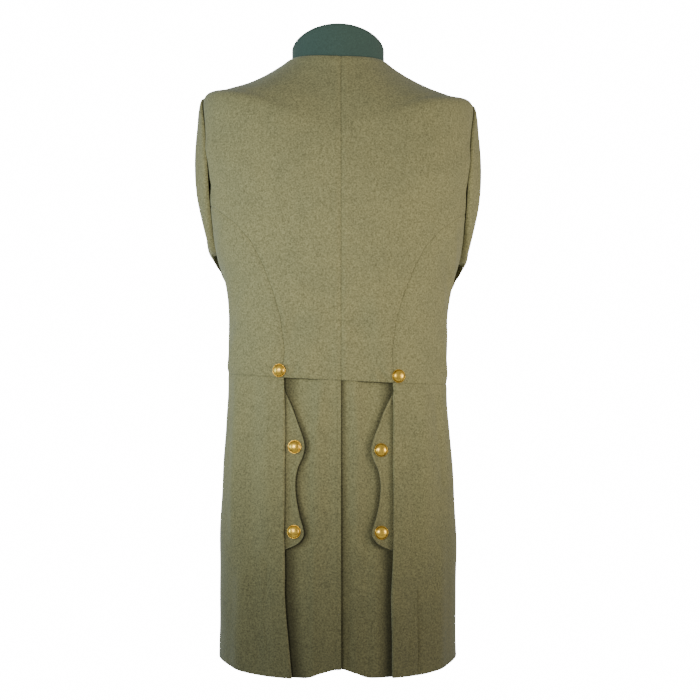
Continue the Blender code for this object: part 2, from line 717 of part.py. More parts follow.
def sleeve_grid():
    """Rings of the whole sleeve, from the armhole to the cuff, and their turns."""
    loop = armhole_loop()
    edge = np.array([body_point(level, angle) for level, angle in loop])
    centre = edge[:-1].mean(axis=0)
    lengths = np.linalg.norm(np.diff(edge, axis=0), axis=1)
    shares = np.concatenate(([0.0], np.cumsum(lengths))) / lengths.sum()
    turns = [math.pi / 2 - 2 * math.pi * share**SLEEVE_TURN_SKEW for share in shares]
    start = []
    for (level, angle), point in zip(loop, edge):
        inward = centre - point
        normal = body_normal(level, angle)
        inward -= normal * inward.dot(normal)
        start.append(point + SEAM_GAP * inward / np.linalg.norm(inward))
    top = SLEEVE_SECTIONS[0].height
    rings = [start]
    for step in range(1, SLEEVE_BEND_ROWS + 1):
        share = step / SLEEVE_BEND_ROWS
        ring = []
        for point, turn in zip(start, turns):
            goal = hanging_point(top, turn)
            outside = 0.5 * (1 + math.cos(turn))
            radial = np.array((point[0], point[1], 0.0)) / math.hypot(point[0], point[1])
            forward = np.array((radial[1], -radial[0], 0.0))
            bulge = SLEEVE_BULGE * outside * radial + SLEEVE_FORWARD * (1 - outside) * forward
            fall = min(SLEEVE_FALL, SLEEVE_FALL_SHARE * (point[2] - goal[2]))
            fall = np.array((0.0, 0.0, -fall))
            place = curve_point(point, point + bulge, goal - fall, goal, share)
            hollow = 0.5 * SLEEVE_SECTIONS[0].hollow * (1 + math.sin(turn))
            gap = SLEEVE_GAP * min(1.0, share / SLEEVE_GAP_BY)
            gap += SLEEVE_FILL * hollow * smooth(share, 0.0, SLEEVE_FILL_BY)
            spread = SLEEVE_SPREAD_LEAST + SLEEVE_OPEN * max(math.sin(turn), SLEEVE_OPEN_LEAST)
            spread += (SLEEVE_SPREAD - SLEEVE_SPREAD_LEAST) * max(math.cos(turn), 0.0)
            ring.append(kept_clear(place, gap, spread))
        rings.append(ring)
    for step in range(1, SLEEVE_HANG_ROWS + 1):
        share = step / SLEEVE_HANG_ROWS
        ring = []
        for turn in turns:
            height = top + (SLEEVE_SECTIONS[-1].height - top) * share
            height += CUFF_SLOPE * share * math.cos(turn)
            ring.append(hanging_point(height, turn))
        rings.append(ring)
    return np.array(rings), turns


def ring_normals(grid):
    """Outward directions of a closed tube's grid, whose last column repeats the first."""
    round_it = np.empty_like(grid)
    round_it[:, 1:-1] = grid[:, 2:] - grid[:, :-2]
    round_it[:, 0] = round_it[:, -1] = grid[:, 1] - grid[:, -2]
    along = np.gradient(grid, axis=0)
    normals = np.cross(along, round_it)
    for _ in range(NORMAL_SMOOTHINGS):
        normals = normals / np.linalg.norm(normals, axis=2, keepdims=True)
        loop = normals[:, :-1]
        loop = 2 * loop + np.roll(loop, 1, axis=1) + np.roll(loop, -1, axis=1)
        normals = np.concatenate((loop, loop[:, :1]), axis=1)
    return normals / np.linalg.norm(normals, axis=2, keepdims=True)


def make_sleeve(side, material):
    """A two piece sleeve: the top sleeve outside and the under sleeve against the coat."""
    grid, turns = sleeve_grid()
    normals = ring_normals(grid)
    middle = grid.mean(axis=1, keepdims=True)
    if ((grid - middle) * normals).sum() < 0:
        normals = -normals
    inner = grid - SLEEVE_WALL * normals
    hind = min(range(len(turns)), key=lambda index: abs(turns[index]))
    fore = min(range(len(turns)), key=lambda index: abs(turns[index] + math.pi))

    under = list(range(hind, fore + 1))
    top = list(range(fore, len(turns) - 1)) + list(range(0, hind + 1))
    for name, columns in (("sleeve_top", top), ("sleeve_under", under)):
        seams = (FIRST_SEAM, LAST_SEAM)
        faces = pulled_in(grid[:, columns], inner[:, columns], seams, SLEEVE_SEAM_GAP)
        make_wall(f"{name}_{side_name(side)}", *faces, material, side)


def dome_mesh(name, radius, height, material):
    """A domed button with a rolled rim and a flat back."""
    profile = [
        (radius * DOME_FOOT_SHARE, 0.0),
        (radius, DOME_RIM_BULGE * DOME_RIM),
        (radius, DOME_RIM),
    ]
    for ring in range(1, DOME_RINGS):
        turn = 0.5 * math.pi * ring / DOME_RINGS
        reach = radius * DOME_CROWN_SHARE * math.cos(turn)
        profile.append((reach, DOME_RIM + (height - DOME_RIM) * math.sin(turn)))
    button = bmesh.new()
    rings = []
    for reach, up in profile:
        rings.append(
            [
                button.verts.new(
                    (
                        reach * math.cos(2 * math.pi * side / DOME_SIDES),
                        reach * math.sin(2 * math.pi * side / DOME_SIDES),
                        up,
                    )
                )
                for side in range(DOME_SIDES)
            ]
        )
    for low, high in zip(rings, rings[1:]):
        for side in range(DOME_SIDES):
            after = (side + 1) % DOME_SIDES
            button.faces.new((low[side], low[after], high[after], high[side]))
    foot, crown = button.verts.new((0, 0, 0)), button.verts.new((0, 0, height))
    for side in range(DOME_SIDES):
        after = (side + 1) % DOME_SIDES
        button.faces.new((foot, rings[0][after], rings[0][side]))
        button.faces.new((crown, rings[-1][side], rings[-1][after]))
    bmesh.ops.recalc_face_normals(button, faces=button.faces)
    mesh = bpy.data.meshes.new(name)
    button.to_mesh(mesh)
    button.free()
    mesh.shade_smooth()
    mesh.set_sharp_from_angle(angle=BUTTON_SHARP_ANGLE)
    mesh.materials.append(material)
    return mesh


def place_button(name, mesh, level, angle, side, depth):
    """A button seated on the cloth, turned to face straight out of it."""
    outward = mirrored(body_normal(level, angle), side)
    place = leaned(mirrored(cloth_point(level, angle, depth), side)) + outward * BUTTON_GAP
    button = add_object(name, mesh)
    turn = Vector(outward).to_track_quat("Z", "Y").to_matrix().to_4x4()
    button.matrix_world = Matrix.Translation(Vector(place)) @ turn


def side_name(side):
    return "left" if side > 0 else "right"


def make_material(finish):
    """A plain finish in the part's own colour."""
    material = bpy.data.materials.new(finish.name)
    material.use_nodes = True
    shader = material.node_tree.nodes["Principled BSDF"]
    shader.inputs["Base Color"].default_value = (*finish.colour, 1.0)
    shader.inputs["Roughness"].default_value = finish.roughness
    shader.inputs["Metallic"].default_value = finish.metallic
    material.diffuse_color = (*finish.colour, 1.0)
    return material


def main():
    for old in list(bpy.data.objects):
        bpy.data.objects.remove(old, do_unlink=True)
    wool, collar_cloth, brass = (make_material(finish) for finish in (WOOL, COLLAR_CLOTH, BRASS))
    for side in (1, -1):
        make_back(side, wool)
        make_side_body(side, wool)
        make_forepart(side, wool)
        make_skirt_front(side, wool)
        make_skirt_back(side, wool)
        make_tail_flap(side, wool)
        make_sleeve(side, wool)
    make_collar(collar_cloth)
    dome = dome_mesh("domed_button", DOME_RADIUS, DOME_HEIGHT, brass)
    for button in TAIL_BUTTONS:
        level = level_at(button.height, BACK)
        angle = angle_at_x(level, button.from_centre)
        place_button(button.name, dome, level, angle, button.side, button.depth)
    for index, height in enumerate(
        np.linspace(FRONT_BUTTON_TOP, FRONT_BUTTON_BOTTOM, FRONT_BUTTONS), start=1
    ):
        level = level_at(height, FRONT)
        place_button(f"button_front_{index}", dome, level, FRONT, 1, 0.0)


main()
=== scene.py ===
"""A frock coat seen from behind, filled out with nobody in it."""

import collections
import math

import bmesh
import bpy
import numpy as np
from mathutils import Matrix, Vector


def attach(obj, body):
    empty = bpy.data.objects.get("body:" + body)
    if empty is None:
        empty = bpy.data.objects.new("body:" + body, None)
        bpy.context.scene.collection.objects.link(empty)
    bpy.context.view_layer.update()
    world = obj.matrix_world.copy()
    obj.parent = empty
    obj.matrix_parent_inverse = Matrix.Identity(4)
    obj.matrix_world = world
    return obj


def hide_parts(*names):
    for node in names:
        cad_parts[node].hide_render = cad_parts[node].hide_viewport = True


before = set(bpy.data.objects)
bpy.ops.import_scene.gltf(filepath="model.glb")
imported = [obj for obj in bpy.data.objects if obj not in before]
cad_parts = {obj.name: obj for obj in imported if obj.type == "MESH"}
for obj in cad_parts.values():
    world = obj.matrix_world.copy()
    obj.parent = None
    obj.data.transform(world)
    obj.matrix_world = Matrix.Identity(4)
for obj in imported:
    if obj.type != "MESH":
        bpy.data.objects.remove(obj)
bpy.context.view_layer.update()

bl_info = {
    "name": "Frock coat",
    "version": (1, 0, 0),
    "blender": (4, 5, 0),
    "location": "View3D > Sidebar > Frock coat",
    "description": "Builds a wool frock coat, its buttons and its stitching, and a plain stage",
    "category": "Object",
}

BODY = "root"

# Cloth and making, in metres
WALL = 0.0020
COLLAR_WALL = 0.0024
LAYER_GAP = 0.0005
BUTTON_GAP = 0.0005
# Panels press into each other this little at a seam, so that no light comes through
SHELL_GAP = -0.00006
FIRST_SEAM, LAST_SEAM = (0, 1), (-1, -2)

# The coat hangs a little lower on the wearer's right
LEAN_AT_WAIST = 0.048
LEAN_AT_SHOULDER = 0.026
LEAN_SHOULDER_Z = -0.10
LEAN_WAIST_Z = -0.50
LEAN_NONE_BELOW = -0.80

# Heights and half breadths of the sections, from the hem to the neck
Section = collections.namedtuple(
    "Section", "name side_z half_width back_z back_depth front_z front_depth roundness"
)
SECTIONS = (
    Section("hem", -0.910, 0.1810, -0.910, 0.1450, -0.910, 0.1520, 2.30),
    Section("low skirt", -0.850, 0.1805, -0.850, 0.1420, -0.850, 0.1490, 2.30),
    Section("knee", -0.790, 0.1805, -0.790, 0.1385, -0.790, 0.1450, 2.30),
    Section("mid skirt", -0.730, 0.1805, -0.730, 0.1335, -0.730, 0.1400, 2.30),
    Section("seat", -0.670, 0.1785, -0.670, 0.1270, -0.670, 0.1335, 2.30),
    Section("hip", -0.615, 0.1760, -0.615, 0.1200, -0.615, 0.1265, 2.30),
    Section("high hip", -0.568, 0.1720, -0.568, 0.1125, -0.568, 0.1195, 2.30),
    Section("below waist", -0.527, 0.1680, -0.527, 0.1065, -0.527, 0.1130, 2.30),
    Section("waist", -0.490, 0.1675, -0.490, 0.1025, -0.490, 0.1090, 2.30),
    Section("above waist", -0.445, 0.1675, -0.445, 0.1015, -0.445, 0.1095, 2.30),
    Section("rib", -0.400, 0.1680, -0.400, 0.1045, -0.400, 0.1130, 2.30),
    Section("high rib", -0.362, 0.1710, -0.362, 0.1095, -0.362, 0.1185, 2.30),
    Section("low chest", -0.333, 0.1770, -0.333, 0.1140, -0.333, 0.1235, 2.30),
    Section("underarm", -0.306, 0.1855, -0.306, 0.1175, -0.306, 0.1270, 2.30),
    Section("chest", -0.262, 0.1950, -0.266, 0.1220, -0.270, 0.1295, 2.30),
    Section("blade", -0.215, 0.2045, -0.228, 0.1245, -0.237, 0.1285, 2.30),
    Section("high blade", -0.165, 0.2090, -0.192, 0.1240, -0.206, 0.1240, 2.25),
    Section("high chest", -0.113, 0.2085, -0.158, 0.1200, -0.178, 0.1165, 2.20),
    Section("shoulder tip", -0.064, 0.2050, -0.126, 0.1135, -0.152, 0.1080, 2.15),
    Section("outer shoulder", -0.0535, 0.1740, -0.101, 0.1055, -0.132, 0.0995, 2.10),
    Section("mid shoulder", -0.0425, 0.1400, -0.077, 0.0965, -0.110, 0.0905, 2.05),
    Section("inner shoulder", -0.0295, 0.1120, -0.053, 0.0865, -0.087, 0.0820, 2.00),
    Section("neck slope", -0.0150, 0.0890, -0.030, 0.0765, -0.067, 0.0755, 2.00),
    Section("neck", -0.0030, 0.0738, -0.008, 0.0678, -0.050, 0.0720, 2.00),
)
LEVEL = {section.name: index for index, section in enumerate(SECTIONS)}
TABLE = np.array([section[1:] for section in SECTIONS])
LAST = len(SECTIONS) - 1
WAIST, UNDERARM = LEVEL["waist"], LEVEL["underarm"]
TIP, NECK = LEVEL["shoulder tip"], LEVEL["neck"]
LOWEST_ROW_HEIGHT = SECTIONS[1].side_z - SECTIONS[0].side_z

# How finely each panel's grid is drawn: its breadth in metres, its columns and its rows
Mesh = collections.namedtuple("Mesh", "breadth columns rows")
BACK_MESH = Mesh(0.150, 46, (78, 52, 52))
SIDE_BODY_MESH = Mesh(0.080, 24, 66)
FOREPART_MESH = Mesh(0.150, 44, (56, 62, 44))
SKIRT_FRONT_MESH = Mesh(0.340, 96, 120)
SKIRT_BACK_MESH = Mesh(0.115, 36, 120)
FLAP_MESH = Mesh(0.038, 14, 112)
FOREPART_LAP_COLUMNS, SKIRT_LAP_COLUMNS = 15, 12
PLEAT_TURN_COLUMNS, PLEAT_TUCK_COLUMNS = 9, 10
COLLAR_ROWS, COLLAR_COLUMNS = 14, 150
ARMHOLE_BACK_STEPS, ARMHOLE_UNDER_STEPS, ARMHOLE_FRONT_STEPS = 34, 22, 44
SLEEVE_BEND_ROWS, SLEEVE_HANG_ROWS = 64, 80

# Seams, as angles round the body from the wearer's side towards the back
SIDE_SEAM = math.radians(-6)
ARMHOLE_BACK_REACH = math.radians(18)
ARMHOLE_FRONT_REACH = math.radians(19)
ARMHOLE_BOW_SKEW = 0.85
ARMHOLE_BOW_FULLNESS = 0.65
BACK_CENTRE_X = -0.0045
SeamPoint = collections.namedtuple("SeamPoint", "height from_centre")
SIDE_BODY_SEAM = (
    SeamPoint(-0.490, 0.0830),
    SeamPoint(-0.450, 0.0790),
    SeamPoint(-0.400, 0.0850),
    SeamPoint(-0.360, 0.0970),
    SeamPoint(-0.325, 0.1110),
    SeamPoint(-0.290, 0.1290),
    SeamPoint(-0.262, 0.1530),
    SeamPoint(-0.240, 0.1830),
    SeamPoint(-0.225, 0.2100),
)
SEAM_REACH_MOST = 0.999

# Front closing, left over right
FRONT_LAP = 0.018
LAP_STEP = 0.004
LAP_EASE = 0.030
LAP_FROM, LAP_TO = -0.012, 0.033

# Side pleats, tail and vent
PleatPoint = collections.namedtuple("PleatPoint", "height left right")
PLEAT_EDGES = (
    PleatPoint(-0.910, 0.0670, 0.0785),
    PleatPoint(-0.860, 0.0710, 0.0785),
    PleatPoint(-0.790, 0.0765, 0.0780),
    PleatPoint(-0.700, 0.0775, 0.0795),
    PleatPoint(-0.490, 0.0785, 0.0815),
)
PLEAT_TUCK = 0.036
PLEAT_FOLD_COLUMN = -15
BACK_TUCK_SHORT = 0.006
PLEAT_RADIUS = WALL + LAYER_GAP
TAIL_DEPTH = 0.0082
TAIL_DEPTH_REACHED = 0.045
TAIL_EASE = 0.025
TAIL_MIDDLE_SHARE = 0.75
TAIL_SINKS_FROM = 0.50
TAIL_SUNK_BY = 0.60
VENT_LAP = 0.026
VENT_STEP = 0.0026
VENT_SPREAD = 0.0050
VENT_STEP_FROM = 0.006
VENT_STEP_OVER = 0.030
HEM_DIP = 0.006
HEM_DIP_FROM = 0.25
HEM_DIP_FULL = 0.75
VENT_LIFT = 0.010
VENT_LIFT_REACH = 0.050
VENT_LIFT_ANGLE = math.radians(30)

# Scalloped free edge of a tail flap, from its top to its tip
FLAP_TUCK = 0.016
FLAP_WALL = 0.0018
FLAP_DEPTH = 2 * PLEAT_RADIUS + LAYER_GAP
FLAP_EDGE_LIFT = 0.0026
FLAP_EDGE_ROLL = 0.0055
FlapPoint = collections.namedtuple("FlapPoint", "height from_centre")
FLAP_EDGE = (
    FlapPoint(-0.496, 0.0860),
    FlapPoint(-0.510, 0.0790),
    FlapPoint(-0.530, 0.0690),
    FlapPoint(-0.552, 0.0605),
    FlapPoint(-0.574, 0.0520),
    FlapPoint(-0.588, 0.0492),
    FlapPoint(-0.602, 0.0520),
    FlapPoint(-0.618, 0.0590),
    FlapPoint(-0.638, 0.0625),
    FlapPoint(-0.660, 0.0612),
    FlapPoint(-0.684, 0.0565),
    FlapPoint(-0.708, 0.0498),
    FlapPoint(-0.719, 0.0530),
    FlapPoint(-0.727, 0.0620),
    FlapPoint(-0.735, 0.0800),
)

# Stand collar
COLLAR_HALF_WIDTH = 0.0716
COLLAR_BACK = 0.0646
COLLAR_FRONT = 0.0658
COLLAR_BASE_SIDE = -0.0345
COLLAR_TILT = 0.310
COLLAR_HEIGHT = 0.0555
COLLAR_SIDE_DROP = 0.0080
COLLAR_TAPER = 0.0010
COLLAR_OPENING = math.radians(0.12)

# Sleeves, empty and brought forward over the front
Sleeve = collections.namedtuple("Sleeve", "height middle half_reach hollow")
SLEEVE_SECTIONS = (
    Sleeve(-0.355, -48, 25, 0.053),
    Sleeve(-0.420, -51, 23, 0.051),
    Sleeve(-0.490, -52, 21, 0.048),
    Sleeve(-0.560, -51, 21, 0.045),
    Sleeve(-0.630, -50, 20, 0.042),
)
SLEEVE_WALL = 0.0014
SLEEVE_GAP = 0.0035
SLEEVE_SPREAD = 0.0105
SLEEVE_SPREAD_LEAST = 0.0028
SLEEVE_OPEN = 0.0060
SLEEVE_OPEN_LEAST = -0.30
CUFF_SLOPE = 0.012
SLEEVE_BULGE = 0.045
SLEEVE_FORWARD = 0.030
SLEEVE_TURN_SKEW = 1.90
SLEEVE_FALL = 0.065
SLEEVE_FALL_SHARE = 0.45
SLEEVE_FILL = 0.85
SLEEVE_GAP_BY = 0.4
SLEEVE_FILL_BY = 0.6
SLEEVE_BLEND = 0.004
SLEEVE_SETTLED_BY = 0.26
NORMAL_SMOOTHINGS = 160

# Buttons
Button = collections.namedtuple("Button", "name side from_centre height depth")
FRONT_BUTTONS = 8
FRONT_BUTTON_TOP = -0.085
FRONT_BUTTON_BOTTOM = -0.475
BUTTONHOLE_MIDDLE = 0.0035
BUTTONHOLE_HALF_LENGTH = 0.0105
BUTTONHOLE_HALF_WIDTH = 0.0011
BUTTONHOLE_POINTS = 48
TAIL_BUTTONS = (
    Button("button_waist_left", 1, 0.0860, -0.4800, 0.0),
    Button("button_waist_right", -1, 0.0885, -0.4800, 0.0),
    Button("button_flap_upper_left", 1, 0.0640, -0.5885, FLAP_DEPTH),
    Button("button_flap_upper_right", -1, 0.0635, -0.5885, FLAP_DEPTH),
    Button("button_flap_lower_left", 1, 0.0645, -0.7085, FLAP_DEPTH),
    Button("button_flap_lower_right", -1, 0.0635, -0.7085, FLAP_DEPTH),
)

# Creases on the back and skirts, by place across (wearer's left is plus) and height.
# A minus rise is a trough.
Crease = collections.namedtuple("Crease", "x0 z0 x1 z1 width rise")
BACK_CREASES = (
    # drag from the waist buttons
    Crease(0.062, -0.474, 0.083, -0.505, 0.0035, -0.0014),
    Crease(-0.061, -0.475, -0.083, -0.503, 0.0040, -0.0022),
    Crease(-0.055, -0.484, -0.078, -0.512, 0.0050, 0.0012),
    Crease(0.070, -0.462, 0.088, -0.474, 0.0060, 0.0010),
    Crease(-0.102, -0.470, -0.088, -0.486, 0.0070, 0.0010),
    # soft strain lines over the small of the back
    Crease(0.060, -0.395, 0.082, -0.470, 0.0120, -0.0013),
    Crease(0.028, -0.400, 0.047, -0.478, 0.0140, 0.0012),
    Crease(-0.030, -0.385, -0.044, -0.476, 0.0150, -0.0013),
    Crease(-0.058, -0.372, -0.070, -0.468, 0.0130, 0.0012),
    Crease(-0.012, -0.420, -0.006, -0.482, 0.0110, 0.0009),
    # ease below the blades and beside the armholes
    Crease(0.120, -0.190, 0.196, -0.150, 0.0150, 0.0016),
    Crease(0.115, -0.232, 0.192, -0.206, 0.0120, -0.0014),
    Crease(-0.112, -0.236, -0.190, -0.204, 0.0130, -0.0014),
    Crease(-0.125, -0.196, -0.196, -0.158, 0.0150, 0.0015),
    Crease(0.168, -0.262, 0.178, -0.330, 0.0090, 0.0014),
    Crease(-0.172, -0.268, -0.172, -0.338, 0.0080, 0.0018),
    Crease(-0.160, -0.300, -0.168, -0.392, 0.0100, -0.0016),
    Crease(0.148, -0.352, 0.164, -0.430, 0.0120, -0.0012),
    Crease(0.152, -0.440, 0.166, -0.478, 0.0100, 0.0012),
    Crease(-0.156, -0.430, -0.166, -0.474, 0.0090, 0.0014),
    # folds that fall through the tail
    Crease(0.060, -0.500, 0.048, -0.640, 0.0110, -0.0016),
    Crease(0.032, -0.505, 0.030, -0.700, 0.0130, 0.0018),
    Crease(0.012, -0.520, 0.014, -0.760, 0.0100, -0.0012),
    Crease(-0.030, -0.505, -0.026, -0.690, 0.0120, 0.0014),
    Crease(-0.046, -0.510, -0.040, -0.720, 0.0100, -0.0016),
    Crease(-0.055, -0.720, -0.060, -0.905, 0.0120, 0.0022),
    Crease(-0.030, -0.760, -0.034, -0.905, 0.0110, -0.0022),
    Crease(0.040, -0.740, 0.046, -0.905, 0.0120, 0.0018),
    # folds that fall through the side skirts
    Crease(0.104, -0.500, 0.100, -0.720, 0.0130, 0.0018),
    Crease(0.128, -0.510, 0.126, -0.800, 0.0150, -0.0022),
    Crease(0.150, -0.505, 0.154, -0.720, 0.0130, 0.0024),
    Crease(0.112, -0.760, 0.116, -0.905, 0.0140, -0.0018),
    Crease(0.140, -0.780, 0.146, -0.905, 0.0140, 0.0024),
    Crease(-0.100, -0.510, -0.098, -0.790, 0.0130, -0.0016),
    Crease(-0.124, -0.505, -0.128, -0.760, 0.0150, 0.0022),
    Crease(-0.148, -0.515, -0.156, -0.640, 0.0110, -0.0022),
    Crease(-0.150, -0.740, -0.150, -0.905, 0.0130, 0.0022),
    Crease(-0.116, -0.800, -0.112, -0.905, 0.0130, -0.0018),
)
FRONT_CREASES = (
    # drag between the front buttons
    Crease(0.010, -0.112, 0.062, -0.100, 0.0070, -0.0010),
    Crease(-0.012, -0.168, -0.070, -0.150, 0.0080, -0.0010),
    Crease(0.010, -0.228, 0.058, -0.240, 0.0070, -0.0010),
    Crease(-0.014, -0.335, -0.060, -0.345, 0.0070, -0.0011),
    Crease(0.010, -0.395, 0.060, -0.408, 0.0070, -0.0012),
    Crease(-0.012, -0.446, -0.060, -0.462, 0.0080, -0.0012),
    # ease from the shoulders to the chest
    Crease(0.150, -0.120, 0.105, -0.210, 0.0140, 0.0018),
    Crease(0.178, -0.132, 0.142, -0.226, 0.0110, -0.0016),
    Crease(-0.148, -0.124, -0.100, -0.216, 0.0140, 0.0017),
    Crease(-0.176, -0.140, -0.140, -0.232, 0.0110, -0.0015),
    Crease(0.050, -0.090, 0.098, -0.132, 0.0120, -0.0010),
    Crease(-0.052, -0.094, -0.100, -0.138, 0.0120, -0.0010),
    # folds that fall through the front skirts
    Crease(0.030, -0.510, 0.040, -0.760, 0.0140, -0.0018),
    Crease(0.070, -0.505, 0.084, -0.880, 0.0170, 0.0024),
    Crease(0.110, -0.505, 0.122, -0.860, 0.0160, -0.0026),
    Crease(0.146, -0.560, 0.156, -0.905, 0.0140, 0.0022),
    Crease(-0.034, -0.520, -0.046, -0.840, 0.0150, 0.0018),
    Crease(-0.074, -0.505, -0.082, -0.800, 0.0160, -0.0024),
    Crease(-0.112, -0.510, -0.126, -0.905, 0.0170, 0.0026),
    Crease(-0.150, -0.540, -0.158, -0.820, 0.0130, -0.0022),
)

# Creases round the empty sleeves, by turn round the sleeve (degrees, 90 is outside)
# and share of the way from the armhole to the cuff
SleeveCrease = collections.namedtuple("SleeveCrease", "turn0 down0 turn1 down1 width rise")
SLEEVE_CREASES = (
    SleeveCrease(20, 0.16, 150, 0.22, 0.012, -0.0022),
    SleeveCrease(35, 0.24, 165, 0.33, 0.014, 0.0026),
    SleeveCrease(10, 0.30, 120, 0.38, 0.012, -0.0022),
    SleeveCrease(60, 0.40, 175, 0.44, 0.013, 0.0022),
    SleeveCrease(95, 0.47, 185, 0.50, 0.011, -0.0026),
    SleeveCrease(80, 0.53, 180, 0.60, 0.013, 0.0022),
    SleeveCrease(30, 0.56, 110, 0.50, 0.014, -0.0016),
    SleeveCrease(110, 0.64, 60, 0.95, 0.014, 0.0020),
    SleeveCrease(40, 0.66, 30, 0.97, 0.012, -0.0016),
    SleeveCrease(140, 0.70, 150, 0.96, 0.012, -0.0018),
)
SLEEVE_LENGTH = 0.55
SLEEVE_PER_DEGREE = 0.0011
SLEEVE_CREASE_GAIN = 1.3
RIGHT_SLEEVE_SHARE = 0.8
SLEEVE_CREASES_FROM, SLEEVE_CREASES_FULL = 0.02, 0.12

# Darkening at seams and edges, painted shadow beside the flap edges, pleat folds and vent, and painted
# shade toward the hem, in metres
RIM_REACH = 0.0030
EDGE_CLEAN = 0.0019
FLAP_SHADOW_REACH, FLAP_FOLD_SHADOW_REACH, PLEAT_SHADOW_REACH, VENT_SHADOW_REACH = 0.0050, 0.0040, 0.0180, 0.0070
# Painted shade toward the hem: where it is full, where it ends, and its factor at the hem
HEM_SHADE_LOW, HEM_SHADE_HIGH, HEM_SHADE_FACTOR = -0.93, -0.42, 0.40

# The two finer grid steps along an edge, in metres
EDGE_STEPS = (0.0012, 0.0030)
RIM_ROUNDING = 0.00055
RIM_ANGLE = math.radians(55)

# A seam dents the cloth, with a low ridge beside it. A turned edge has a pressed groove.
SEAM_DENT_REACH = 0.0030
SEAM_RIDGE_SHARE = 0.35
SEAM_RIDGE_IN = 0.0075
SEAM_RIDGE_REACH = 0.0035
GROOVE_IN = 0.0090
GROOVE_REACH = 0.0016
GROOVE_DEPTH = 0.00022
SWELL, RIPPLE = 0.0006, 0.0004

# Out of the photo view's frame, and wide enough to throw light up under the coat
FLOOR_HALF_WIDTH = 1.5
BACKDROP_STRENGTH = 16.0

# The photo: its side and the coat's scale in pixels, and how far the coat is off its middle
PHOTO_PIXELS = 700.0
PIXELS_PER_METRE = 650.0
COAT_OFF_MIDDLE_PIXELS = 12.0
CAMERA_Z = -0.446
SENSOR_WIDTH = 36.0

# Edge stitches, in metres from the edge, and the thread of a worked buttonhole
EDGE_STITCH_IN = 0.0055
FLAP_STITCH_IN = 0.0045
FLAP_STITCH_ENDS = 4
COLLAR_STITCH_IN = 0.005
CUFF_STITCH_ROW = -4
BUTTONHOLE_STITCH = (0.0024, 0.00032, 0.0008)

BACK, SIDE, FRONT = math.pi / 2, 0.0, -math.pi / 2
STEP = 1e-3
LEVEL_STEP = 0.02


def linear(code):
    """An sRGB hex colour as linear red, green and blue."""
    parts = [int(code[start : start + 2], 16) / 255 for start in (1, 3, 5)]
    return tuple(p / 12.92 if p <= 0.04045 else ((p + 0.055) / 1.055) ** 2.4 for p in parts)


# The coat's form


def smooth(value, low, high):
    share = np.clip((np.asarray(value, float) - low) / (high - low), 0.0, 1.0)
    return share * share * (3 - 2 * share)


def smooth_run(rows, place):
    """Smooth values through a table's rows, at places counted in rows."""
    last = len(rows) - 1
    index = np.minimum(place.astype(int), last - 1)
    share = (place - index)[(...,) + (None,) * (rows.ndim - 1)]
    before, start, end, after = (rows[np.clip(index + shift, 0, last)] for shift in (-1, 0, 1, 2))
    return 0.5 * (
        2 * start
        + (end - before) * share
        + (2 * before - 5 * start + 4 * end - after) * share**2
        + (3 * start - before - 3 * end + after) * share**3
    )


def section_at(level):
    """The section's sizes at levels between the rows of the table."""
    return smooth_run(TABLE, np.clip(np.asarray(level, float), 0.0, LAST))


def body_point(level, angle):
    """Points of the coat's outer form, on the wearer's left."""
    level, angle = np.broadcast_arrays(np.asarray(level, float), np.asarray(angle, float))
    rows = np.moveaxis(section_at(level), -1, 0)
    side_z, half_width, back_z, back_depth, front_z, front_depth, roundness = rows
    across, along = np.cos(angle), np.sin(angle)
    depth = np.where(along >= 0, back_depth, front_depth)
    far_z = np.where(along >= 0, back_z, front_z)
    radius = (
        (np.abs(across) / half_width) ** roundness + (np.abs(along) / depth) ** roundness
    ) ** (-1 / roundness)
    height = side_z + (far_z - side_z) * along * along
    return np.stack((radius * across, radius * along, height), axis=-1)


def unit(vectors):
    return vectors / np.maximum(np.linalg.norm(vectors, axis=-1, keepdims=True), 1e-12)


def body_normal(level, angle):
    """The outward directions of the coat's outer form."""
    level = np.asarray(level, float)
    up = body_point(np.minimum(level + LEVEL_STEP, LAST), angle)
    up = up - body_point(np.maximum(level - LEVEL_STEP, 0.0), angle)
    round_it = body_point(level, angle + STEP) - body_point(level, angle - STEP)
    return unit(np.cross(round_it, up))


def cloth_point(level, angle, depth=0.0):
    depth = np.asarray(depth, float)
    return body_point(level, angle) - depth[..., None] * body_normal(level, angle)


def solve(function, low, high, steps=32):
    """Where rising functions pass zero."""
    for _ in range(steps):
        middle = 0.5 * (low + high)
        above = function(middle) > 0
        high = np.where(above, middle, high)
        low = np.where(above, low, middle)
    return 0.5 * (low + high)


def angle_at_x(level, from_centre, back=True):
    """The angles at which the sections are this far from the centre."""
    level, from_centre = np.broadcast_arrays(
        np.asarray(level, float), np.asarray(from_centre, float)
    )
    zero, half = np.zeros(level.shape), np.full(level.shape, math.pi)
    if back:
        return solve(lambda angle: from_centre - body_point(level, angle)[..., 0], zero, half)
    return solve(lambda angle: body_point(level, angle)[..., 0] - from_centre, -half, zero)


def level_at(height, angle):
    height, angle = np.broadcast_arrays(np.asarray(height, float), np.asarray(angle, float))
    low, high = np.zeros(height.shape), np.full(height.shape, float(LAST))
    return solve(lambda level: body_point(level, angle)[..., 2] - height, low, high)


def arc_step(level, angle):
    """Metres moved for each radian at points of a section."""
    move = body_point(level, angle + STEP) - body_point(level, angle)
    return np.linalg.norm(move, axis=-1) / STEP


def armhole_angle(level, back):
    """The armhole's edge, from the side seam up to the shoulder tip."""
    share = np.clip((np.asarray(level, float) - UNDERARM) / (TIP - UNDERARM), 0.0, 1.0)
    bow = np.maximum(np.sin(math.pi * share**ARMHOLE_BOW_SKEW), 0.0) ** ARMHOLE_BOW_FULLNESS
    reach = ARMHOLE_BACK_REACH if back else -ARMHOLE_FRONT_REACH
    return SIDE_SEAM * (1 - share) + reach * bow


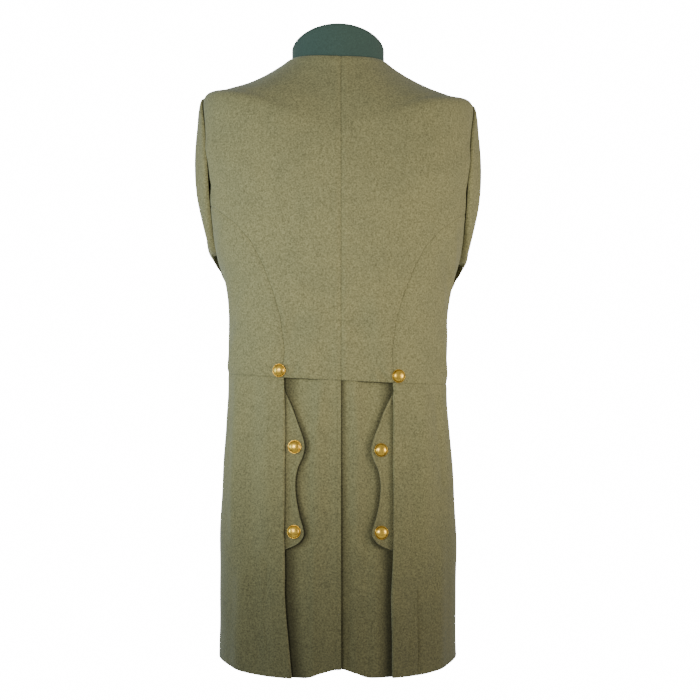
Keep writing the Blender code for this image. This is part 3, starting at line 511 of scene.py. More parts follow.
def side_body_angle(level):
    """The curved seam between the back and the side body."""
    rows = section_at(level)
    heights = [point.height for point in SIDE_BODY_SEAM]
    places = [point.from_centre for point in SIDE_BODY_SEAM]
    place = np.interp(rows[..., 0], heights, places)
    return angle_at_x(level, np.minimum(place, SEAM_REACH_MOST * rows[..., 1]))


SEAM_TOP = float(
    solve(
        lambda level: armhole_angle(level, True) - side_body_angle(level),
        np.array(UNDERARM + 1.0),
        np.array(TIP - 2.0),
    )
)
WAIST_TOP = WAIST + 0.5 * SHELL_GAP / (SECTIONS[WAIST + 1].side_z - SECTIONS[WAIST].side_z)
WAIST_UNDER = WAIST - 0.5 * SHELL_GAP / (SECTIONS[WAIST].side_z - SECTIONS[WAIST - 1].side_z)


def spaced(start, end, count):
    return np.linspace(start, end, count + 1)


def stepped(width, count):
    """Shares across a width, evenly spaced with finer steps at each edge."""
    near = [step / width for step in EDGE_STEPS]
    middle = list(np.linspace(0.0, 1.0, count + 1))[1:-1]
    middle = [share for share in middle if near[-1] * 1.5 < share < 1 - near[-1] * 1.5]
    return np.array([0.0, *near, *middle, *(1 - share for share in reversed(near)), 1.0])


def levels_through(stops, rows):
    """A column of levels through the stops, with so many rows between each two."""
    runs = [spaced(low, high, count)[1:] for low, high, count in zip(stops, stops[1:], rows)]
    return np.concatenate(([stops[0]], *runs))[:, None]


def leaned(points):
    """The points after the coat's slight lean."""
    below = smooth(points[..., 2], LEAN_NONE_BELOW, LEAN_WAIST_Z)
    above = smooth(points[..., 2], LEAN_WAIST_Z, LEAN_SHOULDER_Z)
    lean = below * (LEAN_AT_WAIST + (LEAN_AT_SHOULDER - LEAN_AT_WAIST) * above)
    moved = points.copy()
    moved[..., 2] += lean * points[..., 0]
    return moved


def placed(points, side):
    """Points of the wearer's left brought to their side, and leaned."""
    return leaned(points * np.array((side, 1.0, 1.0)))


def pulled_in(outer, inner, seams, gap=SHELL_GAP):
    """Both faces with their first or last columns moved off the seams, straight across each."""
    for edge, near in seams:
        along = unit(np.gradient(outer[:, edge], axis=0))
        pull = unit(np.cross(along, outer[:, edge] - inner[:, edge]))
        if ((outer[:, near] - outer[:, edge]) * pull).sum() < 0:
            pull = -pull
        outer[:, edge] += 0.5 * gap * pull
        inner[:, edge] += 0.5 * gap * pull
    return outer, inner


# Creases


def crease_places(creases, back):
    """The ends, widths and rises of the creases, on the coat's form."""
    ends = []
    for x, z in [(c.x0, c.z0) for c in creases] + [(c.x1, c.z1) for c in creases]:
        side = 1.0 if x >= 0 else -1.0
        level = float(level_at(z, BACK if back else FRONT))
        for _ in range(3):
            angle = angle_at_x(level, abs(x), back)
            level = float(level_at(z, angle))
        ends.append(placed(body_point(level, angle), side))
    half = len(creases)
    widths = np.array([c.width for c in creases])
    rises = np.array([c.rise for c in creases])
    return np.array(ends[:half]), np.array(ends[half:]), widths, rises


CREASES = [
    np.concatenate(parts)
    for parts in zip(crease_places(BACK_CREASES, True), crease_places(FRONT_CREASES, False))
]


def segment_distance(points, start, end):
    """How far points are from a straight line between two ends."""
    line = end - start
    share = np.clip(((points - start) @ line) / (line @ line), 0.0, 1.0)
    return np.linalg.norm(points - start - share[..., None] * line, axis=-1)


def relief(points, strength):
    """How far the cloth stands out at points of the coat: creases and slow unevenness."""
    rise = np.zeros(points.shape[:-1])
    for start, end, width, height in zip(*CREASES):
        away = segment_distance(points, start, end) / width
        rise += height * np.exp(-away * away)
    x, y, z = np.moveaxis(points, -1, 0)
    rise += SWELL * np.sin(31 * x + 9 * z + 1.3) * np.sin(23 * z - 14 * y + 0.4)
    rise += RIPPLE * np.sin(57 * x - 21 * z + 2.1) * np.sin(44 * z + 33 * y + 1.7)
    return rise * strength


def edge_distances(outer):
    """How far each point of a grid is from its first and last columns and rows."""
    across = np.linalg.norm(np.diff(outer, axis=1), axis=-1)
    across = np.concatenate((np.zeros((len(outer), 1)), np.cumsum(across, axis=1)), axis=1)
    down = np.linalg.norm(np.diff(outer, axis=0), axis=-1)
    down = np.concatenate((np.zeros((1, outer.shape[1])), np.cumsum(down, axis=0)), axis=0)
    return across, across[:, -1:] - across, down, down[-1:] - down


# Meshes


def cloth_shell(name, outer, inner, sewn, turned, settings, creased=True, shadow_lines=()):
    """A closed cloth wall between two grids, dented at sewn edges.

    sewn and turned name edges of the grid, from first, last (columns), low and high (rows).
    Lines also given hold points near which the cloth is darkened as painted shadow, each with its
    reach.
    """
    first, last, low, high = edge_distances(outer)
    edges = {"first": first, "last": last, "low": low, "high": high}
    through = unit(outer - inner)
    rise = relief(outer, settings.crease_strength) if creased else np.zeros(outer.shape[:-1])
    for edge in sewn:
        dent = edges[edge] / SEAM_DENT_REACH
        ridge = (edges[edge] - SEAM_RIDGE_IN) / SEAM_RIDGE_REACH
        rise = rise - settings.seam_depth * np.exp(-(dent**2))
        rise = rise + SEAM_RIDGE_SHARE * settings.seam_depth * np.exp(-(ridge**2))
    for edge in turned:
        groove = (edges[edge] - GROOVE_IN) / GROOVE_REACH
        rise = rise - GROOVE_DEPTH * np.exp(-groove * groove)
    outer = outer + rise[..., None] * through
    inner = inner + rise[..., None] * through
    rim = np.minimum.reduce([edges[edge] for edge in (*sewn, *turned)]) + EDGE_CLEAN
    # Painted shadow: the cloth is darkened near these lines.
    for line, reach in shadow_lines:
        away = np.linalg.norm(outer[:, :, None] - line, axis=-1).min(axis=-1)
        rim = np.minimum(rim, (away - away.min()) * RIM_REACH / reach)
    return wall_mesh(name, outer, inner, first, low, rim)


def wall_mesh(name, outer, inner, first, low, rim):
    """The mesh of a wall, with a UV map in metres and a rim distance for its material."""
    rows, columns = outer.shape[:2]
    points = np.concatenate((outer.reshape(-1, 3), inner.reshape(-1, 3)))
    count = rows * columns
    index = np.arange(count).reshape(rows, columns)
    back = index + count
    corners = (
        (index[:-1, :-1], index[:-1, 1:], index[1:, 1:], index[1:, :-1]),
        (back[:-1, :-1], back[1:, :-1], back[1:, 1:], back[:-1, 1:]),
        (index[:-1, 0], index[1:, 0], back[1:, 0], back[:-1, 0]),
        (index[1:, -1], index[:-1, -1], back[:-1, -1], back[1:, -1]),
        (index[0, 1:], index[0, :-1], back[0, :-1], back[0, 1:]),
        (index[-1, :-1], index[-1, 1:], back[-1, 1:], back[-1, :-1]),
    )
    faces = np.concatenate([np.stack(quad, -1).reshape(-1, 4) for quad in corners])
    mesh = bpy.data.meshes.new(name)
    mesh.from_pydata(points.tolist(), [], faces.tolist())
    layer = mesh.uv_layers.new(name="cloth")
    flat = np.concatenate((np.stack((first, low), -1).reshape(-1, 2),) * 2)
    loops = np.empty(len(mesh.loops), np.int32)
    mesh.loops.foreach_get("vertex_index", loops)
    layer.data.foreach_set("uv", flat[loops].astype(np.float32).ravel())
    # The rim distance also carries painted shadow near the given lines.
    rims = mesh.attributes.new("rim", "FLOAT", "POINT")
    rims.data.foreach_set("value", np.concatenate((rim.ravel(), rim.ravel())).astype(np.float32))
    tidy = bmesh.new()
    tidy.from_mesh(mesh)
    if tidy.calc_volume(signed=True) < 0:
        bmesh.ops.reverse_faces(tidy, faces=tidy.faces)
    tidy.to_mesh(mesh)
    tidy.free()
    mesh.shade_smooth()
    return mesh


def finished(name, mesh, material):
    """The mesh as an object at the origin, in its material."""
    made = bpy.data.objects.new(name, mesh)
    mesh.materials.append(material)
    bpy.context.scene.collection.objects.link(made)
    return made


def bevelled(piece):
    """The piece with its rim edges rounded."""
    bevel = piece.modifiers.new("rim", "BEVEL")
    bevel.width = RIM_ROUNDING
    bevel.segments = 2
    bevel.limit_method = "ANGLE"
    bevel.angle_limit = RIM_ANGLE
    bevel.harden_normals = False
    return applied(piece)


def applied(piece):
    """The piece with its modifiers turned into a plain mesh."""
    graph = bpy.context.evaluated_depsgraph_get()
    mesh = bpy.data.meshes.new_from_object(
        piece.evaluated_get(graph), preserve_all_data_layers=True, depsgraph=graph
    )
    old = piece.data
    piece.modifiers.clear()
    piece.data = mesh
    mesh.name = piece.name
    bpy.data.meshes.remove(old)
    return piece


def flat_area(mesh):
    """Half the mesh's area, which is the cloth's own."""
    total = bmesh.new()
    total.from_mesh(mesh)
    area = sum(face.calc_area() for face in total.faces)
    total.free()
    return 0.5 * area


def sewn_piece(name, mesh, material, nodes):
    """A finished piece of cloth, on its body and in place of its solid."""
    piece = bevelled(finished(name, mesh, material))
    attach(piece, BODY)
    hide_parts(*nodes)
    flat_area(piece.data)
    return piece


def side_name(side):
    return "left" if side > 0 else "right"


# Panels


def panel(levels, angles, depths=0.0, wall=WALL):
    levels, angles = np.broadcast_arrays(levels, angles)
    depths = np.broadcast_to(depths, levels.shape)
    outer = body_point(levels, angles)
    normal = body_normal(levels, angles)
    outer = outer - depths[..., None] * normal
    return outer, outer - wall * normal


def back_grid(side):
    """Half of the back, from the centre seam to the side body, armhole and shoulder."""
    levels = levels_through((WAIST_TOP, SEAM_TOP, TIP, NECK), BACK_MESH.rows)
    centre = angle_at_x(levels, side * BACK_CENTRE_X)
    edge = np.where(levels <= SEAM_TOP, side_body_angle(levels), armhole_angle(levels, True))
    edge = np.where(levels >= TIP, SIDE, edge)
    shares = stepped(BACK_MESH.breadth, BACK_MESH.columns)
    outer, inner = panel(levels, centre + (edge - centre) * shares)
    return pulled_in(outer, inner, (FIRST_SEAM, LAST_SEAM))


def side_tops(shares):
    """Where the columns of the side body meet the armhole."""
    low = np.full(shares.shape, float(UNDERARM))
    high = np.full(shares.shape, SEAM_TOP)

    def above(level):
        edge = side_body_angle(np.minimum(level, SEAM_TOP))
        return armhole_angle(level, True) - (edge + (SIDE_SEAM - edge) * shares)

    tops = solve(above, low, high)
    tops = np.where(shares <= 0.0, SEAM_TOP, tops)
    return np.where(shares >= 1.0, float(UNDERARM), tops)


def side_body_grid():
    """The panel under the arm, its top cut by the armhole, alike on both sides."""
    shares = stepped(SIDE_BODY_MESH.breadth, SIDE_BODY_MESH.columns)
    down = spaced(0.0, 1.0, SIDE_BODY_MESH.rows)[:, None]
    levels = WAIST_TOP + (side_tops(shares) - WAIST_TOP) * down
    start = side_body_angle(levels)
    outer, inner = panel(levels, start + (SIDE_SEAM - start) * shares)
    return pulled_in(outer, inner, (FIRST_SEAM, LAST_SEAM))


def lap_depth(side, signed_x):
    """How far the right front lies under the left one."""
    if side > 0:
        return np.zeros(np.shape(signed_x))
    reach = FRONT_LAP + LAP_STEP
    return (WALL + LAYER_GAP) * (1 - smooth(-signed_x, reach, reach + LAP_EASE))


def lap_angles(levels, count):
    """Angles of the columns at the front edge, from its lap to the wearer's left of centre."""
    steps = [-FRONT_LAP, *(-FRONT_LAP + step for step in EDGE_STEPS)]
    places = np.concatenate((steps, spaced(LAP_FROM, LAP_TO, count)))
    return angle_at_x(levels, places[None, :], back=False)


def with_lap(levels, edge, mesh, lap_columns):
    """Angles of all columns from the front edge to the panel's far edge."""
    lap = lap_angles(levels, lap_columns)
    shares = stepped(mesh.breadth, mesh.columns)[1 + len(EDGE_STEPS) :]
    return np.concatenate((lap, lap[:, -1:] + (edge - lap[:, -1:]) * shares), axis=1)


def forepart_grid(side):
    """Half of the front, from its lapped edge to the side seam, armhole and shoulder."""
    levels = levels_through((WAIST_TOP, UNDERARM, TIP, NECK), FOREPART_MESH.rows)
    edge = np.where(levels <= UNDERARM, SIDE_SEAM, armhole_angle(levels, False))
    edge = np.where(levels >= TIP, SIDE, edge)
    angles = with_lap(levels, edge, FOREPART_MESH, FOREPART_LAP_COLUMNS)
    signed_x = body_point(levels, angles)[..., 0] * side
    outer, inner = panel(levels, angles, lap_depth(side, signed_x))
    return pulled_in(outer, inner, (LAST_SEAM,))


def tail_depth(height, from_centre):
    """How far the back skirt lies in from the folded edges beside it."""
    beside = smooth(from_centre, TAIL_DEPTH_REACHED - TAIL_EASE, TAIL_DEPTH_REACHED)
    lower = smooth(-height, TAIL_SINKS_FROM, TAIL_SUNK_BY)
    return TAIL_DEPTH * np.maximum(beside, TAIL_MIDDLE_SHARE * lower)


def hem_level(angle, from_centre):
    """The skirt's lowest level, lifted at the vent and dipped beside the pleats."""
    dip = HEM_DIP * smooth(np.maximum(np.sin(angle), 0.0), HEM_DIP_FROM, HEM_DIP_FULL)
    lift = (VENT_LIFT + HEM_DIP) * (1 - smooth(np.abs(from_centre), 0.0, VENT_LIFT_REACH))
    return (np.where(angle > VENT_LIFT_ANGLE, lift, 0.0) - dip) / LOWEST_ROW_HEIGHT


def pleat_edge(side, height):
    """How far the pleat's folded edge is from the centre."""
    heights = [point.height for point in PLEAT_EDGES]
    places = [point.left if side > 0 else point.right for point in PLEAT_EDGES]
    return np.interp(height, heights, places)


def skirt_level(angle, from_centre, share):
    lowest = hem_level(angle, from_centre)
    return lowest + (WAIST_UNDER - lowest) * share


def skirt_wall(levels, angles, depths, wall=WALL):
    """Outer and inner points of the skirt. Below the lowest section the form runs straight on."""
    levels, angles, depths = np.broadcast_arrays(levels, angles, depths)
    normal = body_normal(np.maximum(levels, 0.0), angles)
    outer = body_point(np.maximum(levels, 0.0), angles) - depths[..., None] * normal
    outer[..., 2] += np.minimum(levels, 0.0) * LOWEST_ROW_HEIGHT
    return outer, outer - wall * normal


def skirt_front_grid(side):
    """The front skirt, round the side to a pleat edge that folds back under."""
    share = spaced(0.0, 1.0, SKIRT_FRONT_MESH.rows)[:, None]
    row_level = skirt_level(0.0, 1.0, share)
    edge_x = pleat_edge(side, section_at(row_level)[..., 0])
    edge = angle_at_x(row_level, edge_x + PLEAT_RADIUS)
    angles = with_lap(row_level, edge, SKIRT_FRONT_MESH, SKIRT_LAP_COLUMNS)
    signed_x = body_point(row_level, angles)[..., 0] * side
    levels = skirt_level(angles, edge_x, share)
    outer, inner = skirt_wall(levels, angles, lap_depth(side, signed_x))

    levels = skirt_level(edge, edge_x, share)
    pace = arc_step(np.maximum(levels, 0.0), edge)
    turn = spaced(0.0, math.pi, PLEAT_TURN_COLUMNS)[1:][None, :]
    folds = []
    for radius in (PLEAT_RADIUS, PLEAT_RADIUS - WALL):
        around = edge + radius * np.sin(turn) / pace
        folds.append(skirt_wall(levels, around, PLEAT_RADIUS - radius * np.cos(turn))[0])
    tuck = spaced(0.0, 1.0, PLEAT_TUCK_COLUMNS)[1:][None, :]
    around = edge - PLEAT_TUCK * tuck / pace
    tucked = [
        skirt_wall(levels, around, np.full(around.shape, depth))[0]
        for depth in (2 * PLEAT_RADIUS, 2 * PLEAT_RADIUS - WALL)
    ]
    outer = np.concatenate((outer, folds[0], tucked[0]), axis=1)
    inner = np.concatenate((inner, folds[1], tucked[1]), axis=1)
    return outer, inner


def skirt_back_grid(side):
    """The back skirt, from the vent to under the pleat, left over right."""
    share = spaced(0.0, 1.0, SKIRT_BACK_MESH.rows)[:, None]
    start_x = BACK_CENTRE_X if side > 0 else -(BACK_CENTRE_X + VENT_LAP)
    edge_x = pleat_edge(side, section_at(skirt_level(0.0, 1.0, share))[..., 0])
    end_x = edge_x + PLEAT_TUCK - BACK_TUCK_SHORT
    shares = stepped(SKIRT_BACK_MESH.breadth, SKIRT_BACK_MESH.columns)
    from_centre = start_x + (end_x - start_x) * shares
    level = np.maximum(skirt_level(BACK, from_centre, share), 0.0)
    angle = angle_at_x(level, from_centre)
    level = skirt_level(angle, from_centre, share)
    depth = tail_depth(section_at(level)[..., 0], np.abs(from_centre))
    if side < 0:
        under = 1 - smooth(from_centre, VENT_STEP_FROM, VENT_STEP_OVER)
        depth = depth + (VENT_STEP + VENT_SPREAD * (1 - share)) * under
    return skirt_wall(level, angle, depth)


def along_table(rows, column, shares):
    """A smooth run through one column of a table, at shares from its first to its last row."""
    values = np.array([row[column] for row in rows])
    return smooth_run(values, np.clip(shares, 0.0, 1.0) * (len(values) - 1))


def flap_grid(side):
    """A scalloped flap that comes out from under the pleat."""
    shares = spaced(0.0, 1.0, FLAP_MESH.rows)
    heights = along_table(FLAP_EDGE, 0, shares)[:, None]
    free = along_table(FLAP_EDGE, 1, shares)[:, None]
    tucked = pleat_edge(side, heights) + FLAP_TUCK
    level = level_at(heights, BACK)
    from_centre = free + (tucked - free) * stepped(FLAP_MESH.breadth, FLAP_MESH.columns)
    depth = FLAP_DEPTH - FLAP_EDGE_LIFT * np.exp(-((from_centre - free) / FLAP_EDGE_ROLL) ** 2)
    angle = angle_at_x(level, from_centre)
    return panel(level, angle, depth, FLAP_WALL)


def collar_grid():
    """The stand collar, meeting edge to edge at the front."""
    start = FRONT + COLLAR_OPENING
    angle = spaced(start, start + 2 * math.pi - 2 * COLLAR_OPENING, COLLAR_COLUMNS)[None, :]
    share = stepped(COLLAR_HEIGHT, COLLAR_ROWS)[:, None]
    faces = []
    for wall in (0.0, COLLAR_WALL):
        half_width = COLLAR_HALF_WIDTH - COLLAR_TAPER * share - wall
        depth = np.where(np.sin(angle) > 0, COLLAR_BACK, COLLAR_FRONT)
        x = half_width * np.cos(angle)
        y = (depth - COLLAR_TAPER * share - wall) * np.sin(angle)
        height = COLLAR_HEIGHT - COLLAR_SIDE_DROP * np.cos(angle) ** 2
        z = COLLAR_BASE_SIDE + COLLAR_TILT * y + height * share
        faces.append(np.stack(np.broadcast_arrays(x, y, z), axis=-1))
    return faces


# Sleeves


def armhole_loop():
    """The armhole's edge, from the shoulder tip down the back and up the front."""
    back = spaced(TIP, SEAM_TOP, ARMHOLE_BACK_STEPS)
    tops = side_tops(spaced(0.0, 1.0, ARMHOLE_UNDER_STEPS))[1:]
    front = spaced(UNDERARM, TIP, ARMHOLE_FRONT_STEPS)[1:]
    levels = np.concatenate((back, tops, front))
    angles = np.concatenate(
        (armhole_angle(back, True), armhole_angle(tops, True), armhole_angle(front, False))
    )
    return levels, angles


def sleeve_section(height):
    """Middle angle, half reach and hollow of the hanging sleeve at heights."""
    rows = sorted(SLEEVE_SECTIONS, key=lambda row: row.height)
    heights = [row.height for row in rows]
    return [np.interp(height, heights, [row[column] for row in rows]) for column in (1, 2, 3)]


def hanging_point(height, turn):
    """Points round the sleeve where it hangs in front of the coat."""
    middle, half_reach, hollow = sleeve_section(height)
    angle = np.radians(middle + half_reach * np.cos(turn))
    out = SLEEVE_GAP + 0.5 * hollow * (1 + np.sin(turn))
    level = level_at(height, angle)
    flat = unit(body_normal(level, angle) * np.array((1.0, 1.0, 0.0)))
    return body_point(level, angle) + out[..., None] * flat


def kept_clear(points, gap, spread):
    """The points pushed out until they clear the body, and held in at the side."""
    angle = np.arctan2(points[..., 1], points[..., 0])
    level = level_at(points[..., 2], angle)
    surface = body_point(level, angle)
    least = np.hypot(surface[..., 0], surface[..., 1]) + gap
    radius = np.hypot(points[..., 0], points[..., 1])
    radius = least + SLEEVE_BLEND * np.logaddexp(0.0, (radius - least) / SLEEVE_BLEND)
    limit = section_at(level)[..., 1] + spread
    x = radius * np.cos(angle)
    held = limit - SLEEVE_BLEND * np.logaddexp(0.0, (limit - x) / SLEEVE_BLEND)
    x = np.where(x > limit - 3 * SLEEVE_BLEND, held, x)
    return np.stack((x, radius * np.sin(angle), points[..., 2]), axis=-1)


def sleeve_grid():
    """Rings of the whole sleeve, from the armhole to the cuff, and their turns."""
    levels, angles = armhole_loop()
    edge = body_point(levels, angles)
    centre = edge[:-1].mean(axis=0)
    lengths = np.linalg.norm(np.diff(edge, axis=0), axis=1)
    shares = np.concatenate(([0.0], np.cumsum(lengths))) / lengths.sum()
    turn = math.pi / 2 - 2 * math.pi * shares**SLEEVE_TURN_SKEW
    normal = body_normal(levels, angles)
    inward = centre - edge
    inward = unit(inward - normal * (inward * normal).sum(axis=1, keepdims=True))
    start = edge + 0.5 * SHELL_GAP * inward
    top = SLEEVE_SECTIONS[0].height
    goal = hanging_point(np.full(turn.shape, top), turn)
    outside = 0.5 * (1 + np.cos(turn))[:, None]
    radial = unit(start * np.array((1.0, 1.0, 0.0)))
    forward = np.stack((radial[:, 1], -radial[:, 0], np.zeros(len(radial))), axis=1)
    bulge = SLEEVE_BULGE * outside * radial + SLEEVE_FORWARD * (1 - outside) * forward
    drop = np.minimum(SLEEVE_FALL, SLEEVE_FALL_SHARE * (start[:, 2] - goal[:, 2]))
    fall = -drop[:, None] * np.array((0.0, 0.0, 1.0))
    hollow = 0.5 * SLEEVE_SECTIONS[0].hollow * (1 + np.sin(turn))
    spread = SLEEVE_SPREAD_LEAST + SLEEVE_OPEN * np.maximum(np.sin(turn), SLEEVE_OPEN_LEAST)
    spread = spread + (SLEEVE_SPREAD - SLEEVE_SPREAD_LEAST) * np.maximum(np.cos(turn), 0.0)
    rings = [start]
    for share in spaced(0.0, 1.0, SLEEVE_BEND_ROWS)[1:]:
        left = 1 - share
        place = (
            left**3 * start
            + 3 * share * left**2 * (start + bulge)
            + 3 * share**2 * left * (goal - fall)
            + share**3 * goal
        )
        gap = SLEEVE_GAP * min(1.0, share / SLEEVE_GAP_BY)
        gap = gap + SLEEVE_FILL * hollow * smooth(share, 0.0, SLEEVE_FILL_BY)
        rings.append(kept_clear(place, gap, spread))
    shift = rings[-1] - goal
    for share in spaced(0.0, 1.0, SLEEVE_HANG_ROWS)[1:]:
        height = top + (SLEEVE_SECTIONS[-1].height - top) * share
        ring = hanging_point(height + CUFF_SLOPE * share * np.cos(turn), turn)
        rings.append(ring + shift * (1 - smooth(share, 0.0, SLEEVE_SETTLED_BY)))
    return np.array(rings), turn


def ring_normals(grid):
    """Outward directions of a closed tube's grid, whose last column repeats the first."""
    round_it = np.empty_like(grid)
    round_it[:, 1:-1] = grid[:, 2:] - grid[:, :-2]
    round_it[:, 0] = round_it[:, -1] = grid[:, 1] - grid[:, -2]
    normals = unit(np.cross(np.gradient(grid, axis=0), round_it))
    for _ in range(NORMAL_SMOOTHINGS):
        loop = normals[:, :-1]
        loop = 2 * loop + np.roll(loop, 1, axis=1) + np.roll(loop, -1, axis=1)
        normals = unit(np.concatenate((loop, loop[:, :1]), axis=1))
    middle = grid.mean(axis=1, keepdims=True)
    return normals if ((grid - middle) * normals).sum() > 0 else -normals


def sleeve_relief(shape, turn, strength):
    """The sleeve's creases, over a grid of rings and turns."""
    down = np.linspace(0.0, 1.0, shape[0])[:, None] * SLEEVE_LENGTH
    across = np.degrees(turn)[None, :] % 360 * SLEEVE_PER_DEGREE
    rise = np.zeros(shape[:2])
    scale = np.array((SLEEVE_PER_DEGREE, SLEEVE_LENGTH))
    points = np.stack(np.broadcast_arrays(across, down), axis=-1)
    for crease in SLEEVE_CREASES:
        start = np.array((crease.turn0, crease.down0)) * scale
        end = np.array((crease.turn1, crease.down1)) * scale
        away = segment_distance(points, start, end) / crease.width
        rise += crease.rise * np.exp(-away * away)
    return rise * strength


SLEEVE_GRID, SLEEVE_TURNS = sleeve_grid()
SLEEVE_NORMALS = ring_normals(SLEEVE_GRID)


def sleeve_part(side, part, strength):
    """Outer and inner grids of the top or the under sleeve."""
    turns = SLEEVE_TURNS
    uneven = 1.0 if side > 0 else RIGHT_SLEEVE_SHARE
    rise = sleeve_relief(SLEEVE_GRID.shape, turns, SLEEVE_CREASE_GAIN * strength * uneven)
    share = np.arange(len(SLEEVE_GRID)) / len(SLEEVE_GRID)
    fade = smooth(share, SLEEVE_CREASES_FROM, SLEEVE_CREASES_FULL)[:, None]
    outer = SLEEVE_GRID + (rise * fade)[..., None] * SLEEVE_NORMALS
    inner = outer - SLEEVE_WALL * SLEEVE_NORMALS
    hind = int(np.argmin(np.abs(turns)))
    fore = int(np.argmin(np.abs(turns + math.pi)))
    if part == "under":
        columns = list(range(hind, fore + 1))
    else:
        columns = list(range(fore, len(turns) - 1)) + list(range(0, hind + 1))
    outer, inner = outer[:, columns].copy(), inner[:, columns].copy()
    return pulled_in(outer, inner, (FIRST_SEAM, LAST_SEAM))


# Materials


def add_node(tree, kind, settings=(), **inputs):
    """A node with its settings, and inputs given as values or as sockets to link."""
    made = tree.nodes.new(kind)
    for name, value in dict(settings).items():
        setattr(made, name, value)
    for name, value in inputs.items():
        key = int(name[1:]) if name[0] == "_" else name.replace("__", " ")
        socket = made.inputs[key]
        if isinstance(value, bpy.types.NodeSocket):
            tree.links.new(value, socket)
        else:
            socket.default_value = value
    return made


def new_material(name):
    material = bpy.data.materials.new(name)
    material.use_nodes = True
    tree = material.node_tree
    return material, tree, tree.nodes["Principled BSDF"]


def ramp(tree, factor, stops):
    """A colour ramp with stops of (place, linear colour)."""
    made = tree.nodes.new("ShaderNodeValToRGB")
    made.color_ramp.elements[0].position = stops[0][0]
    made.color_ramp.elements[0].color = (*stops[0][1], 1.0)
    made.color_ramp.elements[1].position = stops[-1][0]
    made.color_ramp.elements[1].color = (*stops[-1][1], 1.0)
    for place, colour in stops[1:-1]:
        made.color_ramp.elements.new(place).color = (*colour, 1.0)
    tree.links.new(factor, made.inputs["Fac"])
    return made.outputs["Color"]


def shade(colour, share):
    return tuple(part * share for part in colour)


def mixed(tree, factor, first, second, blend="MIX"):
    made = add_node(tree, "ShaderNodeMix", {"data_type": "RGBA", "blend_type": blend})
    for key, value in ((0, factor), (6, first), (7, second)):
        if isinstance(value, bpy.types.NodeSocket):
            tree.links.new(value, made.inputs[key])
        else:
            made.inputs[key].default_value = (*value, 1.0) if key else value
    return made.outputs[2]


def noise(tree, place, scale, detail, roughness=0.5):
    return add_node(
        tree, "ShaderNodeTexNoise", Vector=place, Scale=scale, Detail=detail, Roughness=roughness
    ).outputs["Fac"]


def darkened(tree, colour, value):
    """The colour times a grey value."""
    grey = add_node(tree, "ShaderNodeCombineColor", _0=value, _1=value, _2=value).outputs["Color"]
    return mixed(tree, 1.0, colour, grey, "MULTIPLY")


def wool_material(name, settings, base, heather):
    """Milled woollen broadcloth, felted and shorn: matt, mottled from dyed and grey fibres
    spun together, with a pale bloom of short nap where it is seen at a grazing angle."""
    material, tree, shader = new_material(name)
    place = add_node(tree, "ShaderNodeTexCoord").outputs["Object"]
    # Fibre clumps are about 0.7 mm wide in the cloth and drawn 2.3 mm wide, so that they show.
    clumps = noise(tree, place, 430.0, 3.0, 0.66)
    # Slow streaks from uneven dyeing and pressing, 30 to 50 mm across.
    streaks = noise(tree, place, 24.0, 2.0)
    darker, paler = shade(base, 1.0 - 0.75 * heather), shade(base, 1.0 + 0.75 * heather)
    fibres = ramp(tree, clumps, ((0.33, darker), (0.50, base), (0.67, paler)))
    toned = ramp(tree, streaks, ((0.35, (0.95, 0.955, 0.96)), (0.65, (1.03, 1.02, 1.0))))
    colour = mixed(tree, 1.0, fibres, toned, "MULTIPLY")
    # Seams and edges are rubbed a little darker within 3 mm. The same attribute carries painted shadow
    # beside the flap edges, the pleat folds and the vent.
    rim = add_node(tree, "ShaderNodeAttribute", {"attribute_name": "rim"}).outputs["Fac"]
    near = add_node(
        tree, "ShaderNodeMapRange", Value=rim, _1=0.0002, _2=RIM_REACH, _3=0.40, _4=1.0
    ).outputs["Result"]
    colour = darkened(tree, colour, near)
    # Painted shade: the skirt is darkened from the hip down, most at the hem.
    height = add_node(tree, "ShaderNodeSeparateXYZ", Vector=place).outputs["Z"]
    hem_shade = add_node(
        tree,
        "ShaderNodeMapRange",
        {"interpolation_type": "SMOOTHSTEP"},
        Value=height,
        _1=HEM_SHADE_LOW,
        _2=HEM_SHADE_HIGH,
        _3=HEM_SHADE_FACTOR,
        _4=1.0,
    ).outputs["Result"]
    colour = darkened(tree, colour, hem_shade)
    tree.links.new(colour, shader.inputs["Base Color"])
    shader.inputs["Roughness"].default_value = 0.92
    shader.inputs["Specular IOR Level"].default_value = 0.18
    shader.inputs["Sheen Weight"].default_value = settings.sheen
    shader.inputs["Sheen Roughness"].default_value = 0.45
    shader.inputs["Sheen Tint"].default_value = (*linear("#c9d6cf"), 1.0)
    # The nap stands about 0.3 mm; finer fibres of 1 mm pitch lie in it.
    nap = noise(tree, place, 900.0, 2.0, 0.6)
    height = add_node(tree, "ShaderNodeMath", {"operation": "ADD"}, _0=clumps, _1=nap).outputs[0]
    bump = add_node(tree, "ShaderNodeBump", Height=height, Strength=0.55, Distance=0.0005)
    tree.links.new(bump.outputs["Normal"], shader.inputs["Normal"])
    return material


def thread_material(name, colour):
    """Waxed linen sewing thread: twisted, slightly glossy, a little darker than the cloth."""
    material, tree, shader = new_material(name)
    place = add_node(tree, "ShaderNodeTexCoord").outputs["Object"]
    # The twist has a pitch of about 0.6 mm.
    twist = add_node(
        tree,
        "ShaderNodeTexWave",
        {"bands_direction": "DIAGONAL"},
        Vector=place,
        Scale=600.0,
        Distortion=1.0,
    ).outputs["Fac"]
    tone = ramp(tree, twist, ((0.2, shade(colour, 0.75)), (0.8, shade(colour, 1.15))))
    tree.links.new(tone, shader.inputs["Base Color"])
    shader.inputs["Roughness"].default_value = 0.62
    shader.inputs["Specular IOR Level"].default_value = 0.35
    return material


